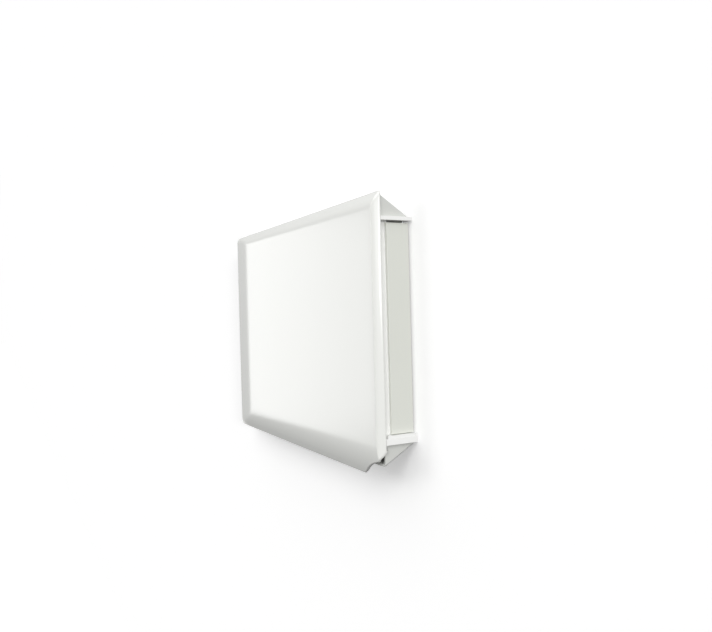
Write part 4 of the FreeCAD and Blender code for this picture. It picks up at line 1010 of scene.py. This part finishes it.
def circle_through(a, b, c):
    """Centre and radius of the circle through three points in the front's plane."""
    ax, ay = a
    bx, by = b
    cx, cy = c
    aa, bb, cc = ax * ax + ay * ay, bx * bx + by * by, cx * cx + cy * cy
    d = 2 * (ax * (by - cy) + bx * (cy - ay) + cx * (ay - by))
    ux = (aa * (by - cy) + bb * (cy - ay) + cc * (ay - by)) / d
    uy = (aa * (cx - bx) + bb * (ax - cx) + cc * (bx - ax)) / d
    return Vector((ux, uy)), math.hypot(ax - ux, ay - uy)


SCOOP_START = Vector((HIGH[0] - SCOOP_RUN, LOW[2]))
SCOOP_TURN = Vector((HIGH[0] - SCOOP_INSET, LOW[2] + SCOOP_RISE))
SCOOP_END = Vector((HIGH[0], LOW[2] + SCOOP_RISE + SCOOP_SIDE))
BOWL_MIDDLE = (SCOOP_START + SCOOP_TURN) / 2 + Vector((-SCOOP_BOW / 2, SCOOP_BOW))
HEEL_MIDDLE = (SCOOP_TURN + SCOOP_END) / 2 + Vector((SCOOP_INSET / 4, -SCOOP_BOW))
BOWL, BOWL_R = circle_through(SCOOP_START, BOWL_MIDDLE, SCOOP_TURN)
HEEL, HEEL_R = circle_through(SCOOP_TURN, HEEL_MIDDLE, SCOOP_END)


def scooped(x, z):
    """True where the finger scoop has taken the cover away."""
    if x <= SCOOP_START.x or z >= SCOOP_END.y:
        return False
    if x <= SCOOP_TURN.x:
        return z < BOWL.y + math.sqrt(max(BOWL_R ** 2 - (x - BOWL.x) ** 2, 0))
    return z < HEEL.y - math.sqrt(max(HEEL_R ** 2 - (x - HEEL.x) ** 2, 0))


def slope_fall(share, side):
    """Height gained over a slope, 0 at the skirt and 1 on the front: straight, then rounded over."""
    flat, end = ROUNDING[side]
    share = min(max(share, 0), end)
    rate = 2 / (flat + end)
    if share <= flat:
        return rate * share
    past = share - flat
    return rate * (flat + past - past * past / (2 * (end - flat)))


def front_depth(x, z):
    """Depth of the cover's outer surface."""
    shares = {"left": (x - LOW[0]) / SLOPE_LEFT, "bottom": (z - LOW[2]) / SLOPE_BOTTOM,
              "top": (HIGH[2] - z) / SLOPE_TOP, "right": (HIGH[0] - x) / SLOPE_RIGHT}
    drops = [1 - slope_fall(share, side) for side, share in shares.items()]
    drop = min(sum(d ** MITRE for d in drops) ** (1 / MITRE), 1.0)
    dome = FRONT_DOME * ((x / HIGH[0]) ** 2 + (z / HIGH[2]) ** 2) / 2
    return CROWN_Y - CROWN * (1 - drop) + dome


def rounded_outline(x0, x1, z0, z1, r_left, r_right):
    """Points round a rounded rectangle, as many for any size, so that two outlines pair up."""
    points = []
    corners = [(x0 + r_left, z0 + r_left, r_left, 180), (x1 - r_right, z0 + r_right, r_right, 270),
               (x1 - r_right, z1 - r_right, r_right, 0), (x0 + r_left, z1 - r_left, r_left, 90)]
    for index, (cx, cz, r, start) in enumerate(corners):
        for step in range(CORNER_STEPS + 1):
            a = math.radians(start + 90 * step / CORNER_STEPS)
            points.append(Vector((cx + r * math.cos(a), cz + r * math.sin(a))))
        nx, nz, nr, n_start = corners[(index + 1) % 4]
        a = math.radians(n_start)
        end = Vector((nx + nr * math.cos(a), nz + nr * math.sin(a)))
        steps = LONG_STEPS if index % 2 == 0 else SHORT_STEPS
        begin = points[-1]
        points += [begin.lerp(end, k / steps) for k in range(1, steps)]
    return points


def edge_outline(rim, inner):
    """The rim's points, moved inwards where the scoop is, and whether each has moved."""
    edge, moved = [], []
    for p, q in zip(rim, inner):
        t = 0.0
        while scooped(*p.lerp(q, t)) and t < 0.98:
            t += SCOOP_STEP
        edge.append(p.lerp(q, t))
        moved.append(t > 0)
    return edge, moved


def cover_mesh():
    """Closed shell of rings: from the middle of the hollow back out to the skirt, round its back
    edge, and up the slopes to the middle of the front."""
    ends = {side: rounding[1] for side, rounding in ROUNDING.items()}
    rim = rounded_outline(LOW[0], HIGH[0], LOW[2], HIGH[2], CORNER_LEFT, CORNER_RIGHT)
    inner = rounded_outline(LOW[0] + SLOPE_LEFT * ends["left"], HIGH[0] - SLOPE_RIGHT * ends["right"],
                            LOW[2] + SLOPE_BOTTOM * ends["bottom"], HIGH[2] - SLOPE_TOP * ends["top"],
                            INNER_CORNER_LEFT, INNER_CORNER_RIGHT)
    edge, moved = edge_outline(rim, inner)
    count = len(edge)
    centre = Vector(((inner[0].x + inner[count // 2].x) / 2, 0.0))
    bm = bmesh.new()
    rings = []

    def ring(points, depths):
        rings.append([bm.verts.new((p.x, y, p.y)) for p, y in zip(points, depths)])

    def ring_behind(points, gap):
        """Ring that follows the front surface, the gap behind it."""
        ring(points, [front_depth(*p) + gap for p in points])

    def inset(distance):
        """The edge moved inwards. The distance is one value, or one for each point."""
        far = distance if isinstance(distance, list) else [distance] * count
        reach = [inner[i] - edge[i] for i in range(count)]
        return [edge[i] + reach[i].normalized() * min(far[i], reach[i].length * 0.9) for i in range(count)]

    back = [front_depth(*edge[i]) + COVER_WALL if moved[i] else HIGH[1] for i in range(count)]
    turned = [y - SKIRT_TURN for y in back]
    wall = [SKIRT_TURN * 2 if moved[i] else COVER_WALL for i in range(count)]
    for far in HOLLOW_RINGS:
        ring_behind([p.lerp(centre, far) for p in inner], COVER_WALL)
    for far in BEHIND_SLOPE_RINGS:
        ring_behind([p.lerp(q, far) for p, q in zip(inner, inset(COVER_WALL))], COVER_WALL)
    points = inset([w + WALL_FILLET for w in wall])
    ring(points, [min(front_depth(*p) + COVER_WALL, y) for p, y in zip(points, turned)])
    ring(inset(wall), turned)
    ring(inset([w - SKIRT_TURN for w in wall]), back)
    ring(inset(SKIRT_TURN), back)
    ring(edge, turned)
    r = COVER_EDGE_R
    ring(edge, [(y + front_depth(*p) + r) / 2 for p, y in zip(edge, back)])
    for step in EDGE_RINGS:
        ring_behind(inset(r * step), r - math.sqrt(max(r * r - (r - r * min(step, 1)) ** 2, 0)))
    slope_foot = inset(r * EDGE_RINGS[-1])
    for k in range(1, SLOPE_RINGS + 1):
        ring_behind([p.lerp(q, k / SLOPE_RINGS) for p, q in zip(slope_foot, inner)], 0.0)
    for far in FRONT_RINGS:
        ring_behind([p.lerp(centre, far) for p in inner], 0.0)
    for low, high in zip(rings, rings[1:]):
        for i in range(count):
            k = (i + 1) % count
            bm.faces.new((low[i], low[k], high[k], high[i]))
    bm.faces.new(rings[0])
    bm.faces.new(rings[-1])
    bmesh.ops.recalc_face_normals(bm, faces=bm.faces)
    mesh = bpy.data.meshes.new("front_cover_shell")
    bm.to_mesh(mesh)
    bm.free()
    mesh.shade_smooth()
    return mesh


COVER_WHITE = plastic("cover white", (0.86, 0.868, 0.835), gloss=0.24, grain=700, grain_depth=0.000008,
                      mottle=0.012, dust=0.1, scuff=0.03, coat=0.5)
add_piece("front_cover_shell", cover_mesh(), COVER_WHITE, "cover", "cover_plastic", "front_cover")

# ---- Cover studs and ribs -----------------------------------------------------------------
# Four studs moulded on the cover's back, which the rubber grips hold, and a low grid of stiffening
# ribs across its inside.
eased_piece("cover_studs", 0.0004, COVER_WHITE)
RIB_THICK = 0.0012
RIB_HIGH = 0.0026
RIB_BITE = 0.0004            # rib's foot inside the cover's wall
RIB_EDGE = 0.0002
RIB_FIRST_X = -0.14
RIB_PITCH_X = 0.07
RIB_PITCH_Z = 0.075
RIB_SPAN_X = 0.30
RIB_SPAN_Z = 0.19
RIB_Y = LOW[1] + COVER_WALL - RIB_BITE + RIB_HIGH / 2
upright_places = [(RIB_FIRST_X + RIB_PITCH_X * k, RIB_Y, 0.0) for k in range(5)]
level_places = [(0.0, RIB_Y, RIB_PITCH_Z * k) for k in (-1, 0, 1)]
upright_bar = bar_mesh((RIB_THICK, RIB_HIGH, RIB_SPAN_Z), RIB_EDGE)
level_bar = bar_mesh((RIB_SPAN_X, RIB_HIGH, RIB_THICK), RIB_EDGE)
ribs = joined("cover ribs", [
    copies_of("upright ribs", upright_bar, upright_places, UNTURNED, COVER_WHITE),
    copies_of("level ribs", level_bar, level_places, UNTURNED, COVER_WHITE)])
add_piece("cover_ribs", ribs, None, "cover", "cover_plastic")
